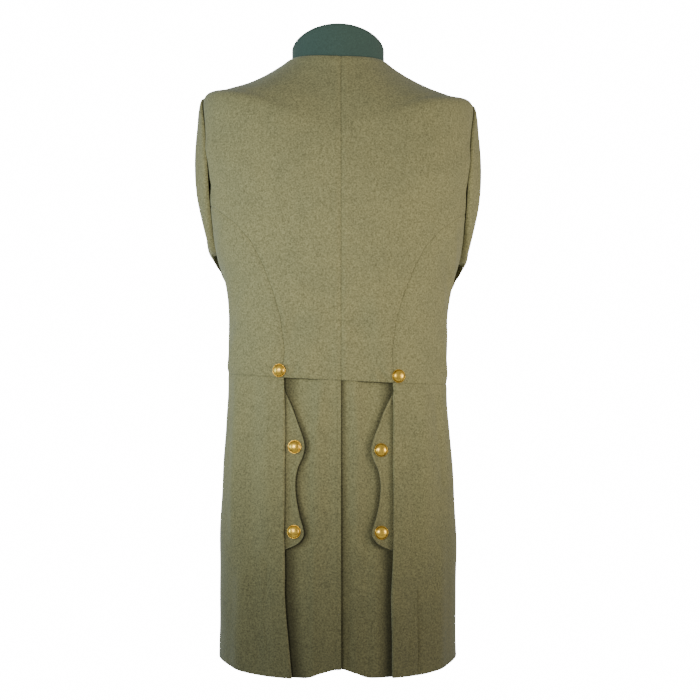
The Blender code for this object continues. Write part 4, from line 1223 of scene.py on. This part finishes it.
def brass_material(settings):
    """Stamped brass, gilt by the fire process and worn: bright yellow on the dome, with fine
    hairline wear and a brown tarnish that stays in the low places."""
    material, tree, shader = new_material("stamped gilt brass")
    place = add_node(tree, "ShaderNodeTexCoord").outputs["Object"]
    gold = tuple(settings.colour)
    # Tarnish spots are 2 to 4 mm across.
    spots = noise(tree, place, 320.0, 4.0, 0.6)
    tarnish = ramp(
        tree, spots, ((0.36, linear("#b18c3c")), (0.52, gold), (0.75, shade(gold, 1.08)))
    )
    low = add_node(tree, "ShaderNodeAttribute", {"attribute_name": "low"}).outputs["Fac"]
    colour = mixed(tree, low, tarnish, linear("#5a4218"))
    tree.links.new(colour, shader.inputs["Base Color"])
    shader.inputs["Metallic"].default_value = 1.0
    rough = add_node(
        tree, "ShaderNodeMapRange", Value=spots, _1=0.3, _2=0.7, _3=0.40, _4=0.26
    ).outputs["Result"]
    tree.links.new(rough, shader.inputs["Roughness"])
    # Hairlines from rubbing are about 0.3 mm apart and drawn 0.8 mm apart.
    scratches = noise(tree, place, 1300.0, 2.0)
    bump = add_node(tree, "ShaderNodeBump", Height=scratches, Strength=0.05, Distance=0.0002)
    tree.links.new(bump.outputs["Normal"], shader.inputs["Normal"])
    return material


def floor_material():
    """Matt painted studio floor: smooth, pale, with no pattern."""
    material, _, shader = new_material("matt painted floor")
    shader.inputs["Base Color"].default_value = (*linear("#f4f4f2"), 1.0)
    shader.inputs["Roughness"].default_value = 0.9
    return material


MADE = {}


def shared(key, maker, *values):
    """The material for a key, made once."""
    if key not in MADE:
        MADE[key] = maker(*values)
    return MADE[key]


def wool(scene):
    settings = scene.frock_coat_cloth
    values = (settings, tuple(settings.wool), settings.heather)
    return shared("wool", wool_material, "milled wool broadcloth", *values)


def collar_wool(scene):
    settings = scene.frock_coat_cloth
    values = (settings, tuple(settings.collar), 0.35 * settings.heather)
    return shared("collar", wool_material, "dark green facing cloth", *values)


# Stitches


def circle(count):
    """Cosine and sine of the corners of a regular polygon."""
    turns = [2 * math.pi * corner / count for corner in range(count)]
    return [(math.cos(turn), math.sin(turn)) for turn in turns]


def stitch_mesh(length, radius):
    """One stitch: a short thread that dives into the cloth at both ends."""
    made = bmesh.new()
    sides, rings = 6, 5
    loops = []
    for ring in range(rings):
        share = ring / (rings - 1)
        thick = radius * (0.55 + 0.45 * math.sin(math.pi * share))
        lift = radius * (2.0 * math.sin(math.pi * share) - 0.7)
        along = length * (share - 0.5)
        loops.append([made.verts.new((along, thick * c, lift + thick * s)) for c, s in circle(sides)])
    for low, high in zip(loops, loops[1:]):
        for side in range(sides):
            after = (side + 1) % sides
            made.faces.new((low[side], low[after], high[after], high[side]))
    made.faces.new(loops[0][::-1])
    made.faces.new(loops[-1])
    bmesh.ops.recalc_face_normals(made, faces=made.faces)
    mesh = bpy.data.meshes.new("stitch")
    made.to_mesh(mesh)
    made.free()
    mesh.shade_smooth()
    return mesh


def stitch_tree():
    """Geometry nodes that lay one stitch after another along paths on the cloth."""
    tree = bpy.data.node_groups.new("Stitches along a path", "GeometryNodeTree")
    face = tree.interface
    face.new_socket("Geometry", in_out="INPUT", socket_type="NodeSocketGeometry")
    face.new_socket("Stitch", in_out="INPUT", socket_type="NodeSocketObject")
    for name, value in (("Spacing", 0.004), ("Turn", 0.0), ("Jitter", 0.08)):
        socket = face.new_socket(name, in_out="INPUT", socket_type="NodeSocketFloat")
        socket.default_value = value
    face.new_socket("Material", in_out="INPUT", socket_type="NodeSocketMaterial")
    face.new_socket("Geometry", in_out="OUTPUT", socket_type="NodeSocketGeometry")
    given = tree.nodes.new("NodeGroupInput").outputs
    curve = add_node(tree, "GeometryNodeMeshToCurve", Mesh=given["Geometry"]).outputs["Curve"]
    even = add_node(
        tree,
        "GeometryNodeResampleCurve",
        {"mode": "LENGTH"},
        Curve=curve,
        Length=given["Spacing"],
    ).outputs["Curve"]
    tangent = tree.nodes.new("GeometryNodeInputTangent").outputs["Tangent"]
    out = add_node(
        tree, "GeometryNodeInputNamedAttribute", {"data_type": "FLOAT_VECTOR"}, Name="out"
    ).outputs["Attribute"]
    along = add_node(
        tree, "FunctionNodeAlignRotationToVector", {"axis": "X"}, Vector=tangent
    ).outputs["Rotation"]
    upright = add_node(
        tree,
        "FunctionNodeAlignRotationToVector",
        {"axis": "Z", "pivot_axis": "X"},
        Rotation=along,
        Vector=out,
    ).outputs["Rotation"]
    wobble = add_node(tree, "FunctionNodeRandomValue", {"data_type": "FLOAT"}, Seed=11)
    minus = add_node(tree, "ShaderNodeMath", {"operation": "MULTIPLY"}, _0=given["Jitter"], _1=-1.0)
    tree.links.new(minus.outputs[0], wobble.inputs[2])
    tree.links.new(given["Jitter"], wobble.inputs[3])
    swing = add_node(
        tree, "ShaderNodeMath", {"operation": "ADD"}, _0=wobble.outputs[1], _1=given["Turn"]
    ).outputs[0]
    angles = add_node(tree, "ShaderNodeCombineXYZ", Z=swing).outputs["Vector"]
    local = add_node(tree, "FunctionNodeEulerToRotation", Euler=angles).outputs["Rotation"]
    turned = add_node(
        tree, "FunctionNodeRotateRotation", {"rotation_space": "LOCAL"}, Rotation=upright
    )
    tree.links.new(local, turned.inputs[1])
    thread = add_node(tree, "GeometryNodeObjectInfo", Object=given["Stitch"]).outputs["Geometry"]
    laid = add_node(
        tree,
        "GeometryNodeInstanceOnPoints",
        Points=even,
        Instance=thread,
        Rotation=turned.outputs["Rotation"],
    ).outputs["Instances"]
    real = add_node(tree, "GeometryNodeRealizeInstances", Geometry=laid).outputs["Geometry"]
    painted = add_node(
        tree, "GeometryNodeSetMaterial", Geometry=real, Material=given["Material"]
    ).outputs["Geometry"]
    end = tree.nodes.new("NodeGroupOutput")
    tree.links.new(painted, end.inputs["Geometry"])
    return tree


def laid_stitches(name, paths, length, radius, spacing, material, turn=0.0):
    """Stitches along paths of (points, outward directions), as one plain mesh."""
    points, outs, edges = [], [], []
    for path, out, closed in paths:
        base = len(points)
        points += path.tolist()
        outs += out.tolist()
        edges += [(base + i, base + i + 1) for i in range(len(path) - 1)]
        if closed:
            edges.append((base + len(path) - 1, base))
    mesh = bpy.data.meshes.new(name)
    mesh.from_pydata(points, edges, [])
    layer = mesh.attributes.new("out", "FLOAT_VECTOR", "POINT")
    layer.data.foreach_set("vector", np.array(outs, np.float32).ravel())
    piece = bpy.data.objects.new(name, mesh)
    bpy.context.scene.collection.objects.link(piece)
    pattern = bpy.data.objects.new("stitch", stitch_mesh(length, radius))
    tree = shared("stitch tree", stitch_tree)
    modifier = piece.modifiers.new("stitches", "NODES")
    modifier.node_group = tree
    given = {
        "Stitch": pattern,
        "Spacing": spacing,
        "Turn": turn,
        "Jitter": 0.06,
        "Material": material,
    }
    for item in tree.interface.items_tree:
        if item.in_out == "INPUT" and item.name in given:
            modifier[item.identifier] = given[item.name]
    applied(piece)
    if not piece.data.polygons:
        raise RuntimeError(f"{name} has no stitches")
    bpy.data.objects.remove(pattern)
    if not piece.data.materials:
        piece.data.materials.append(material)
    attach(piece, BODY)
    return piece


def grid_path(outer, through, row, lift=0.0002):
    """A path along one row of a grid, just outside the cloth."""
    return outer[row] + lift * through[row], through[row], False


# Buttons


def button_mesh(name, radius, height):
    """A stamped button: rolled rim, a shallow ring groove, a dome, a flat back and a shank."""
    profile = [
        (0.000, -0.0002, 0.6),
        (0.080, -0.0002, 0.6),
        (0.200, 0.0000, 0.8),
        (0.900, 0.0000, 0.6),
        (0.965, 0.0003, 0.2),
        (1.000, 0.0009, 0.0),
        (0.990, 0.0015, 0.0),
        (0.955, 0.0018, 0.0),
        (0.915, 0.0016, 0.4),
        (0.890, 0.0014, 1.0),
        (0.868, 0.0016, 0.5),
    ]
    for step in range(1, 15):
        turn = 0.5 * math.pi * step / 14
        profile.append((0.860 * math.cos(turn), 0.0018 + (height - 0.0018) * math.sin(turn), 0.0))
    sides = 48
    made = bmesh.new()
    low = made.verts.layers.float.new("low")
    rings = []
    for reach, up, dark in profile:
        if reach < 1e-6:
            rings.append([made.verts.new((0.0, 0.0, up))])
        else:
            wide = radius * reach
            rings.append([made.verts.new((wide * c, wide * s, up)) for c, s in circle(sides)])
        for point in rings[-1]:
            point[low] = dark
    for first, second in zip(rings, rings[1:]):
        for side in range(sides):
            after = (side + 1) % sides
            ends = [first[side % len(first)], first[after % len(first)]]
            ends += [second[after % len(second)], second[side % len(second)]]
            corners = list(dict.fromkeys(ends))
            made.faces.new(corners)
    bmesh.ops.recalc_face_normals(made, faces=made.faces)
    mesh = bpy.data.meshes.new(name)
    made.to_mesh(mesh)
    made.free()
    mesh.shade_smooth()
    return mesh


def seated_button(name, level, angle, side, depth, settings):
    """A button on the cloth, its place baked into its mesh."""
    outward = body_normal(level, angle) * np.array((side, 1.0, 1.0))
    seat = placed(cloth_point(level, angle, depth), side)
    seat = seat + outward * BUTTON_GAP
    mesh = button_mesh(name, settings.radius, settings.height)
    turn = Vector(outward).to_track_quat("Z", "Y").to_matrix().to_4x4()
    mesh.transform(Matrix.Translation(Vector(seat)) @ turn)
    piece = finished(name, mesh, shared("brass", brass_material, settings))
    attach(piece, BODY)
    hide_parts(name)
    return piece


# Settings


def colour_setting(name, description, code):
    return bpy.props.FloatVectorProperty(
        name=name, description=description, subtype="COLOR", size=3, min=0.0, max=1.0,
        default=linear(code),
    )


def share_setting(name, description, most, start):
    return bpy.props.FloatProperty(
        name=name, description=description, subtype="FACTOR", min=0.0, max=most, default=start
    )


def length_setting(name, description, least, most, start, precision=2):
    return bpy.props.FloatProperty(
        name=name, description=description, subtype="DISTANCE", unit="LENGTH",
        min=least, max=most, default=start, precision=precision,
    )


def amount_setting(name, description, most, start, unit="NONE"):
    return bpy.props.FloatProperty(
        name=name, description=description, unit=unit, min=0.0, max=most, default=start
    )


class FrockCoatCloth(bpy.types.PropertyGroup):
    wool: colour_setting("Wool", "Colour of the coat's wool", "#8d895f")
    collar: colour_setting("Collar", "Colour of the collar's facing cloth", "#485d53")
    heather: share_setting("Heather", "How far the fibres differ in tone", 0.8, 0.50)
    sheen: share_setting("Nap", "Strength of the pale bloom at grazing angles", 1.0, 0.35)
    crease_strength: share_setting("Creases", "Depth of the creases against those drawn", 2.0, 1.45)
    seam_depth: length_setting("Seam depth", "How far a seam draws the cloth in", 0.0, 0.002, 0.0007, 5)


class FrockCoatButtons(bpy.types.PropertyGroup):
    radius: length_setting("Radius", "Radius of a button", 0.006, 0.014, 0.0100, 4)
    height: length_setting("Height", "Height of a button's dome", 0.003, 0.009, 0.0068, 4)
    colour: colour_setting("Gilding", "Colour of the gilt brass", "#e8bf4e")


class FrockCoatStitches(bpy.types.PropertyGroup):
    spacing: length_setting("Spacing", "From one stitch to the next", 0.002, 0.010, 0.0042, 4)
    length: length_setting("Length", "Length of one stitch", 0.001, 0.008, 0.0030, 4)
    thickness: length_setting("Thread", "Radius of the thread", 0.0001, 0.0006, 0.00022, 5)
    colour: colour_setting("Thread colour", "Colour of the drab thread", "#77734f")


class FrockCoatStage(bpy.types.PropertyGroup):
    floor_height: length_setting("Floor", "Height of the floor below the neck", -2.0, -0.95, -1.46)
    key_power: amount_setting("Key light", "Power of the main light", 400.0, 6.0, "POWER")
    room_light: amount_setting("Room light", "Strength of the room's even light", 4.0, 0.30)
    wall_light: amount_setting("Wall light", "Strength of the white walls in reflections", 4.0, 0.50)
    camera_distance: length_setting(
        "Camera distance", "From the coat's middle to the camera", 1.0, 6.0, 1.95
    )


# Operators


ALL_EDGES = ("first", "last", "low", "high")


def sew(context, part, side, grids, sewn, turned=(), shadow_lines=(), creased=True):
    """One side's piece of cloth, made from its grids."""
    settings = context.scene.frock_coat_cloth
    node = f"{part}_{side_name(side)}"
    name = f"{node}_cloth"
    outer, inner = (placed(grid, side) for grid in grids)
    mesh = cloth_shell(name, outer, inner, sewn, turned, settings, creased, shadow_lines)
    sewn_piece(name, mesh, wool(context.scene), [node])


class BuildBacks(bpy.types.Operator):
    """Build the two halves of the back"""

    bl_idname = "frock_coat.build_backs"
    bl_label = "Backs"

    def execute(self, context):
        for side in (1, -1):
            sew(context, "back", side, back_grid(side), ALL_EDGES)
        return {"FINISHED"}


class BuildSideBodies(bpy.types.Operator):
    """Build the two panels under the arms"""

    bl_idname = "frock_coat.build_side_bodies"
    bl_label = "Side bodies"

    def execute(self, context):
        for side in (1, -1):
            sew(context, "side_body", side, side_body_grid(), ALL_EDGES)
        return {"FINISHED"}


class BuildForeparts(bpy.types.Operator):
    """Build the two lapped halves of the front"""

    bl_idname = "frock_coat.build_foreparts"
    bl_label = "Foreparts"

    def execute(self, context):
        for side in (1, -1):
            sewn = ("last", "low", "high")
            sew(context, "forepart", side, forepart_grid(side), sewn, ("first",))
        return {"FINISHED"}


def pleat_fold(side):
    """The points of the pleat's folded edge."""
    return placed(skirt_front_grid(side)[0][:, PLEAT_FOLD_COLUMN], side)


def painted_shadow_lines(side):
    """Where the back skirt gets painted shadow: under the flap's edge, beside the pleat's fold and at
    the vent.
    """
    flap = placed(flap_grid(side)[0][:, 0], side)
    lines = [(flap, FLAP_SHADOW_REACH), (pleat_fold(side), PLEAT_SHADOW_REACH)]
    if side < 0:
        lines.append((placed(skirt_back_grid(1)[0][:, 0], 1), VENT_SHADOW_REACH))
    return lines


class BuildSkirts(bpy.types.Operator):
    """Build the front skirts with their folded pleats, and the back skirts with the vent"""

    bl_idname = "frock_coat.build_skirts"
    bl_label = "Skirts"

    def execute(self, context):
        turned = ("first", "low")
        for side in (1, -1):
            sew(context, "skirt_front", side, skirt_front_grid(side), ("high",), turned)
            grids = skirt_back_grid(side)
            # The back skirt carries painted shadow beside the flap, the pleat fold and the vent.
            sew(context, "skirt_back", side, grids, ("high",), turned, painted_shadow_lines(side))
        return {"FINISHED"}


class BuildTailFlaps(bpy.types.Operator):
    """Build the scalloped flaps on the tail"""

    bl_idname = "frock_coat.build_tail_flaps"
    bl_label = "Tail flaps"

    def execute(self, context):
        for side in (1, -1):
            # Painted shadow on the flap beside the pleat's fold.
            shadow_lines = [(pleat_fold(side), FLAP_FOLD_SHADOW_REACH)]
            sew(context, "tail_flap", side, flap_grid(side), (), ("first",), shadow_lines)
        return {"FINISHED"}


class BuildCollar(bpy.types.Operator):
    """Build the stand collar"""

    bl_idname = "frock_coat.build_collar"
    bl_label = "Collar"

    def execute(self, context):
        name, turned = "collar_cloth", ("high", "first", "last")
        outer, inner = collar_grid()
        settings = context.scene.frock_coat_cloth
        mesh = cloth_shell(name, outer, inner, (), turned, settings, creased=False)
        green = collar_wool(context.scene)
        sewn_piece(name, mesh, green, ["collar"])
        return {"FINISHED"}


class BuildSleeves(bpy.types.Operator):
    """Build the top and under pieces of both sleeves"""

    bl_idname = "frock_coat.build_sleeves"
    bl_label = "Sleeves"

    def execute(self, context):
        strength = context.scene.frock_coat_cloth.crease_strength
        sewn = ("first", "last", "low")
        for side in (1, -1):
            for part in ("top", "under"):
                grids = sleeve_part(side, part, strength)
                sew(context, f"sleeve_{part}", side, grids, sewn, ("high",), creased=False)
        return {"FINISHED"}


class BuildButtons(bpy.types.Operator):
    """Build the buttons of the back, the tail flaps and the front"""

    bl_idname = "frock_coat.build_buttons"
    bl_label = "Buttons"

    def execute(self, context):
        settings = context.scene.frock_coat_buttons
        for button in TAIL_BUTTONS:
            level = level_at(button.height, BACK)
            angle = angle_at_x(level, button.from_centre)
            seated_button(button.name, level, angle, button.side, button.depth, settings)
        for index, height in enumerate(
            np.linspace(FRONT_BUTTON_TOP, FRONT_BUTTON_BOTTOM, FRONT_BUTTONS), start=1
        ):
            level = level_at(height, FRONT)
            seated_button(f"button_front_{index}", level, np.array(FRONT), 1, 0.0, settings)
        return {"FINISHED"}


class SewStitches(bpy.types.Operator):
    """Sew the edge stitching and the worked buttonholes"""

    bl_idname = "frock_coat.sew_stitches"
    bl_label = "Stitches"

    def execute(self, context):
        cloth = context.scene.frock_coat_cloth
        settings = context.scene.frock_coat_stitches
        drab = shared("drab thread", thread_material, "drab linen thread", tuple(settings.colour))
        green = shared("green thread", thread_material, "green linen thread", linear("#3a4a3e"))
        size = (settings.length, settings.thickness, settings.spacing)
        for name, paths, thread in (
            ("front_edge_stitches", front_edge_paths(cloth), drab),
            ("tail_edge_stitches", tail_edge_paths(cloth), drab),
            ("flap_edge_stitches", flap_edge_paths(cloth), drab),
            ("cuff_stitches", cuff_paths(cloth), drab),
            ("collar_edge_stitches", collar_paths(), green),
        ):
            laid_stitches(name, paths, *size, thread)
        paths = buttonhole_paths(cloth)
        laid_stitches("buttonhole_stitches", paths, *BUTTONHOLE_STITCH, drab, math.pi / 2)
        return {"FINISHED"}


def surfaced(outer, inner, side, strength):
    """A grid brought to its side and creased as its cloth is, with its outward directions."""
    outer, inner = placed(outer, side), placed(inner, side)
    through = unit(outer - inner)
    return outer + relief(outer, strength)[..., None] * through, through


def between(outer, through, share_from_first):
    """A path down a grid at a fixed distance from its first column."""
    first = edge_distances(outer)[0]
    points, outs = [], []
    for row in range(len(outer)):
        index = int(np.clip(np.searchsorted(first[row], share_from_first), 1, len(first[row]) - 1))
        before, after = first[row][index - 1], first[row][index]
        share = (share_from_first - before) / max(after - before, 1e-9)
        points.append(outer[row, index - 1] * (1 - share) + outer[row, index] * share)
        outs.append(through[row, index - 1] * (1 - share) + through[row, index] * share)
    points, outs = np.array(points), unit(np.array(outs))
    return points + 0.0001 * outs, outs, False


def front_edge_paths(cloth):
    """Down the left front edge of the forepart and the skirt."""
    paths = []
    for grid in (forepart_grid(1), skirt_front_grid(1)):
        outer, through = surfaced(*grid, 1, cloth.crease_strength)
        paths.append(between(outer, through, EDGE_STITCH_IN))
    return paths


def tail_edge_paths(cloth):
    """Down the vent's upper edge."""
    outer, through = surfaced(*skirt_back_grid(1), 1, cloth.crease_strength)
    return [between(outer, through, EDGE_STITCH_IN)]


def flap_edge_paths(cloth):
    """Round the scalloped edges of both flaps."""
    paths = []
    for side in (1, -1):
        outer, through = surfaced(*flap_grid(side), side, cloth.crease_strength)
        rows = slice(FLAP_STITCH_ENDS, -FLAP_STITCH_ENDS)
        paths.append(between(outer[rows], through[rows], FLAP_STITCH_IN))
    return paths


def cuff_paths(cloth):
    """Round both cuffs, about 10 mm above their edges."""
    paths = []
    for side in (1, -1):
        for part in ("top", "under"):
            outer, inner = sleeve_part(side, part, cloth.crease_strength)
            outer, inner = placed(outer, side), placed(inner, side)
            through = unit(outer - inner)
            paths.append(grid_path(outer, through, CUFF_STITCH_ROW))
    return paths


def collar_paths():
    """Round the top of the collar."""
    outer, inner = collar_grid()
    through = unit(outer - inner)
    high = edge_distances(outer)[3]
    row = int(np.argmin(np.abs(high[:, 0] - COLLAR_STITCH_IN)))
    return [grid_path(outer, through, row, lift=0.0003)]


def buttonhole_paths(cloth):
    """A worked slit out from each front button, towards the wearer's right."""
    paths = []
    for height in np.linspace(FRONT_BUTTON_TOP, FRONT_BUTTON_BOTTOM, FRONT_BUTTONS):
        turn = np.linspace(0.0, 2 * math.pi, BUTTONHOLE_POINTS + 1)[:-1]
        across = BUTTONHOLE_MIDDLE + BUTTONHOLE_HALF_LENGTH * np.cos(turn)
        rise = BUTTONHOLE_HALF_WIDTH * np.sin(turn)
        points, outs = [], []
        for x, z in zip(across, rise):
            here = level_at(height + z, FRONT)
            angle = angle_at_x(here, -x, back=False)
            outward = body_normal(here, angle)
            points.append(cloth_point(here, angle, 0.0))
            outs.append(outward)
        points, outs = placed(np.array(points), 1), np.array(outs)
        points = points + (relief(points, cloth.crease_strength)[:, None] + 0.0001) * outs
        paths.append((points, outs, True))
    return paths


def seen_by(tree, ray, otherwise, strength):
    """White of this strength for one kind of ray, and another shader for all others."""
    white = add_node(tree, "ShaderNodeBackground", Strength=strength)
    white.inputs["Color"].default_value = (1.0, 1.0, 1.0, 1.0)
    kind = add_node(tree, "ShaderNodeLightPath").outputs[ray]
    both = add_node(tree, "ShaderNodeMixShader", _0=kind, _1=otherwise, _2=white.outputs[0])
    return both.outputs[0]


class SetStage(bpy.types.Operator):
    """Lay the floor, set the lights and place the camera"""

    bl_idname = "frock_coat.set_stage"
    bl_label = "Stage"

    def execute(self, context):
        settings = context.scene.frock_coat_stage
        laid = bmesh.new()
        bmesh.ops.create_grid(laid, x_segments=8, y_segments=8, size=FLOOR_HALF_WIDTH)
        bmesh.ops.translate(laid, verts=laid.verts, vec=(0.0, 0.0, settings.floor_height))
        mesh = bpy.data.meshes.new("studio_floor")
        laid.to_mesh(mesh)
        laid.free()
        finished("studio_floor", mesh, floor_material())

        # The camera sees a white backdrop, and the coat is lit by a dimmer white room.
        world = bpy.data.worlds.new("white studio")
        world.use_nodes = True
        tree = world.node_tree
        room = tree.nodes["Background"]
        room.inputs["Color"].default_value = (*linear("#f6f8ff"), 1.0)
        room.inputs["Strength"].default_value = settings.room_light
        # Glossy surfaces see a brighter room, as brass does between white walls.
        around = seen_by(tree, "Is Glossy Ray", room.outputs[0], settings.wall_light)
        both = seen_by(tree, "Is Camera Ray", around, BACKDROP_STRENGTH)
        tree.links.new(both, tree.nodes["World Output"].inputs["Surface"])
        context.scene.world = world

        for name, place, aim, size, power, colour in (
            ("key", (0.42, 0.98, -0.33), (0.0, 0.1, -0.34), 0.40, settings.key_power, "#ffffff"),
            ("cool side", (1.30, 0.40, -0.42), (0.15, 0.0, -0.35), 0.6, 7.0, "#cdeaff"),
            ("far side", (-1.30, 0.55, -0.42), (-0.1, 0.0, -0.35), 0.7, 11.0, "#fff6ea"),
            ("front", (0.3, -2.2, 0.5), (0.0, 0.0, -0.4), 1.4, 22.0, "#ffffff"),
        ):
            light = bpy.data.lights.new(name, "AREA")
            light.shape = "DISK"
            light.size = size
            light.energy = power
            light.color = linear(colour)
            lamp = bpy.data.objects.new(name, light)
            lamp.location = place
            toward = Vector(aim) - Vector(place)
            lamp.rotation_euler = toward.to_track_quat("-Z", "Y").to_euler()
            context.scene.collection.objects.link(lamp)

        camera = bpy.data.cameras.new("photo view")
        camera.sensor_width = SENSOR_WIDTH
        scale = PIXELS_PER_METRE / PHOTO_PIXELS
        camera.lens = SENSOR_WIDTH * scale * settings.camera_distance
        camera.shift_x = COAT_OFF_MIDDLE_PIXELS / PHOTO_PIXELS
        view = bpy.data.objects.new("photo view", camera)
        view.location = (0.0, settings.camera_distance, CAMERA_Z)
        view.rotation_euler = (math.pi / 2, 0.0, math.pi)
        context.scene.collection.objects.link(view)
        context.scene.camera = view
        return {"FINISHED"}


class FrockCoatPanel(bpy.types.Panel):
    """Sizes, colours and the steps that build the coat"""

    bl_idname = "VIEW3D_PT_frock_coat"
    bl_label = "Frock coat"
    bl_space_type = "VIEW_3D"
    bl_region_type = "UI"
    bl_category = "Frock coat"

    def draw(self, context):
        for settings, operators in STEPS:
            box = self.layout.box()
            group = getattr(context.scene, settings)
            for name in group.__annotations__:
                box.prop(group, name)
            for operator in operators:
                box.operator(operator.bl_idname)


GROUPS = (
    ("frock_coat_cloth", FrockCoatCloth),
    ("frock_coat_buttons", FrockCoatButtons),
    ("frock_coat_stitches", FrockCoatStitches),
    ("frock_coat_stage", FrockCoatStage),
)
STEPS = (
    ("frock_coat_stage", (SetStage,)),
    (
        "frock_coat_cloth",
        (
            BuildBacks,
            BuildSideBodies,
            BuildForeparts,
            BuildSkirts,
            BuildTailFlaps,
            BuildCollar,
            BuildSleeves,
        ),
    ),
    ("frock_coat_buttons", (BuildButtons,)),
    ("frock_coat_stitches", (SewStitches,)),
)


def register():
    for name, group in GROUPS:
        bpy.utils.register_class(group)
        setattr(bpy.types.Scene, name, bpy.props.PointerProperty(type=group))
    for _, operators in STEPS:
        for operator in operators:
            bpy.utils.register_class(operator)
    bpy.utils.register_class(FrockCoatPanel)


def unregister():
    bpy.utils.unregister_class(FrockCoatPanel)
    for _, operators in reversed(STEPS):
        for operator in reversed(operators):
            bpy.utils.unregister_class(operator)
    for name, group in reversed(GROUPS):
        delattr(bpy.types.Scene, name)
        bpy.utils.unregister_class(group)


def main():
    register()
    for _, operators in STEPS:
        for operator in operators:
            group, name = operator.bl_idname.split(".")
            getattr(getattr(bpy.ops, group), name)()


if __name__ == "__main__":
    main()
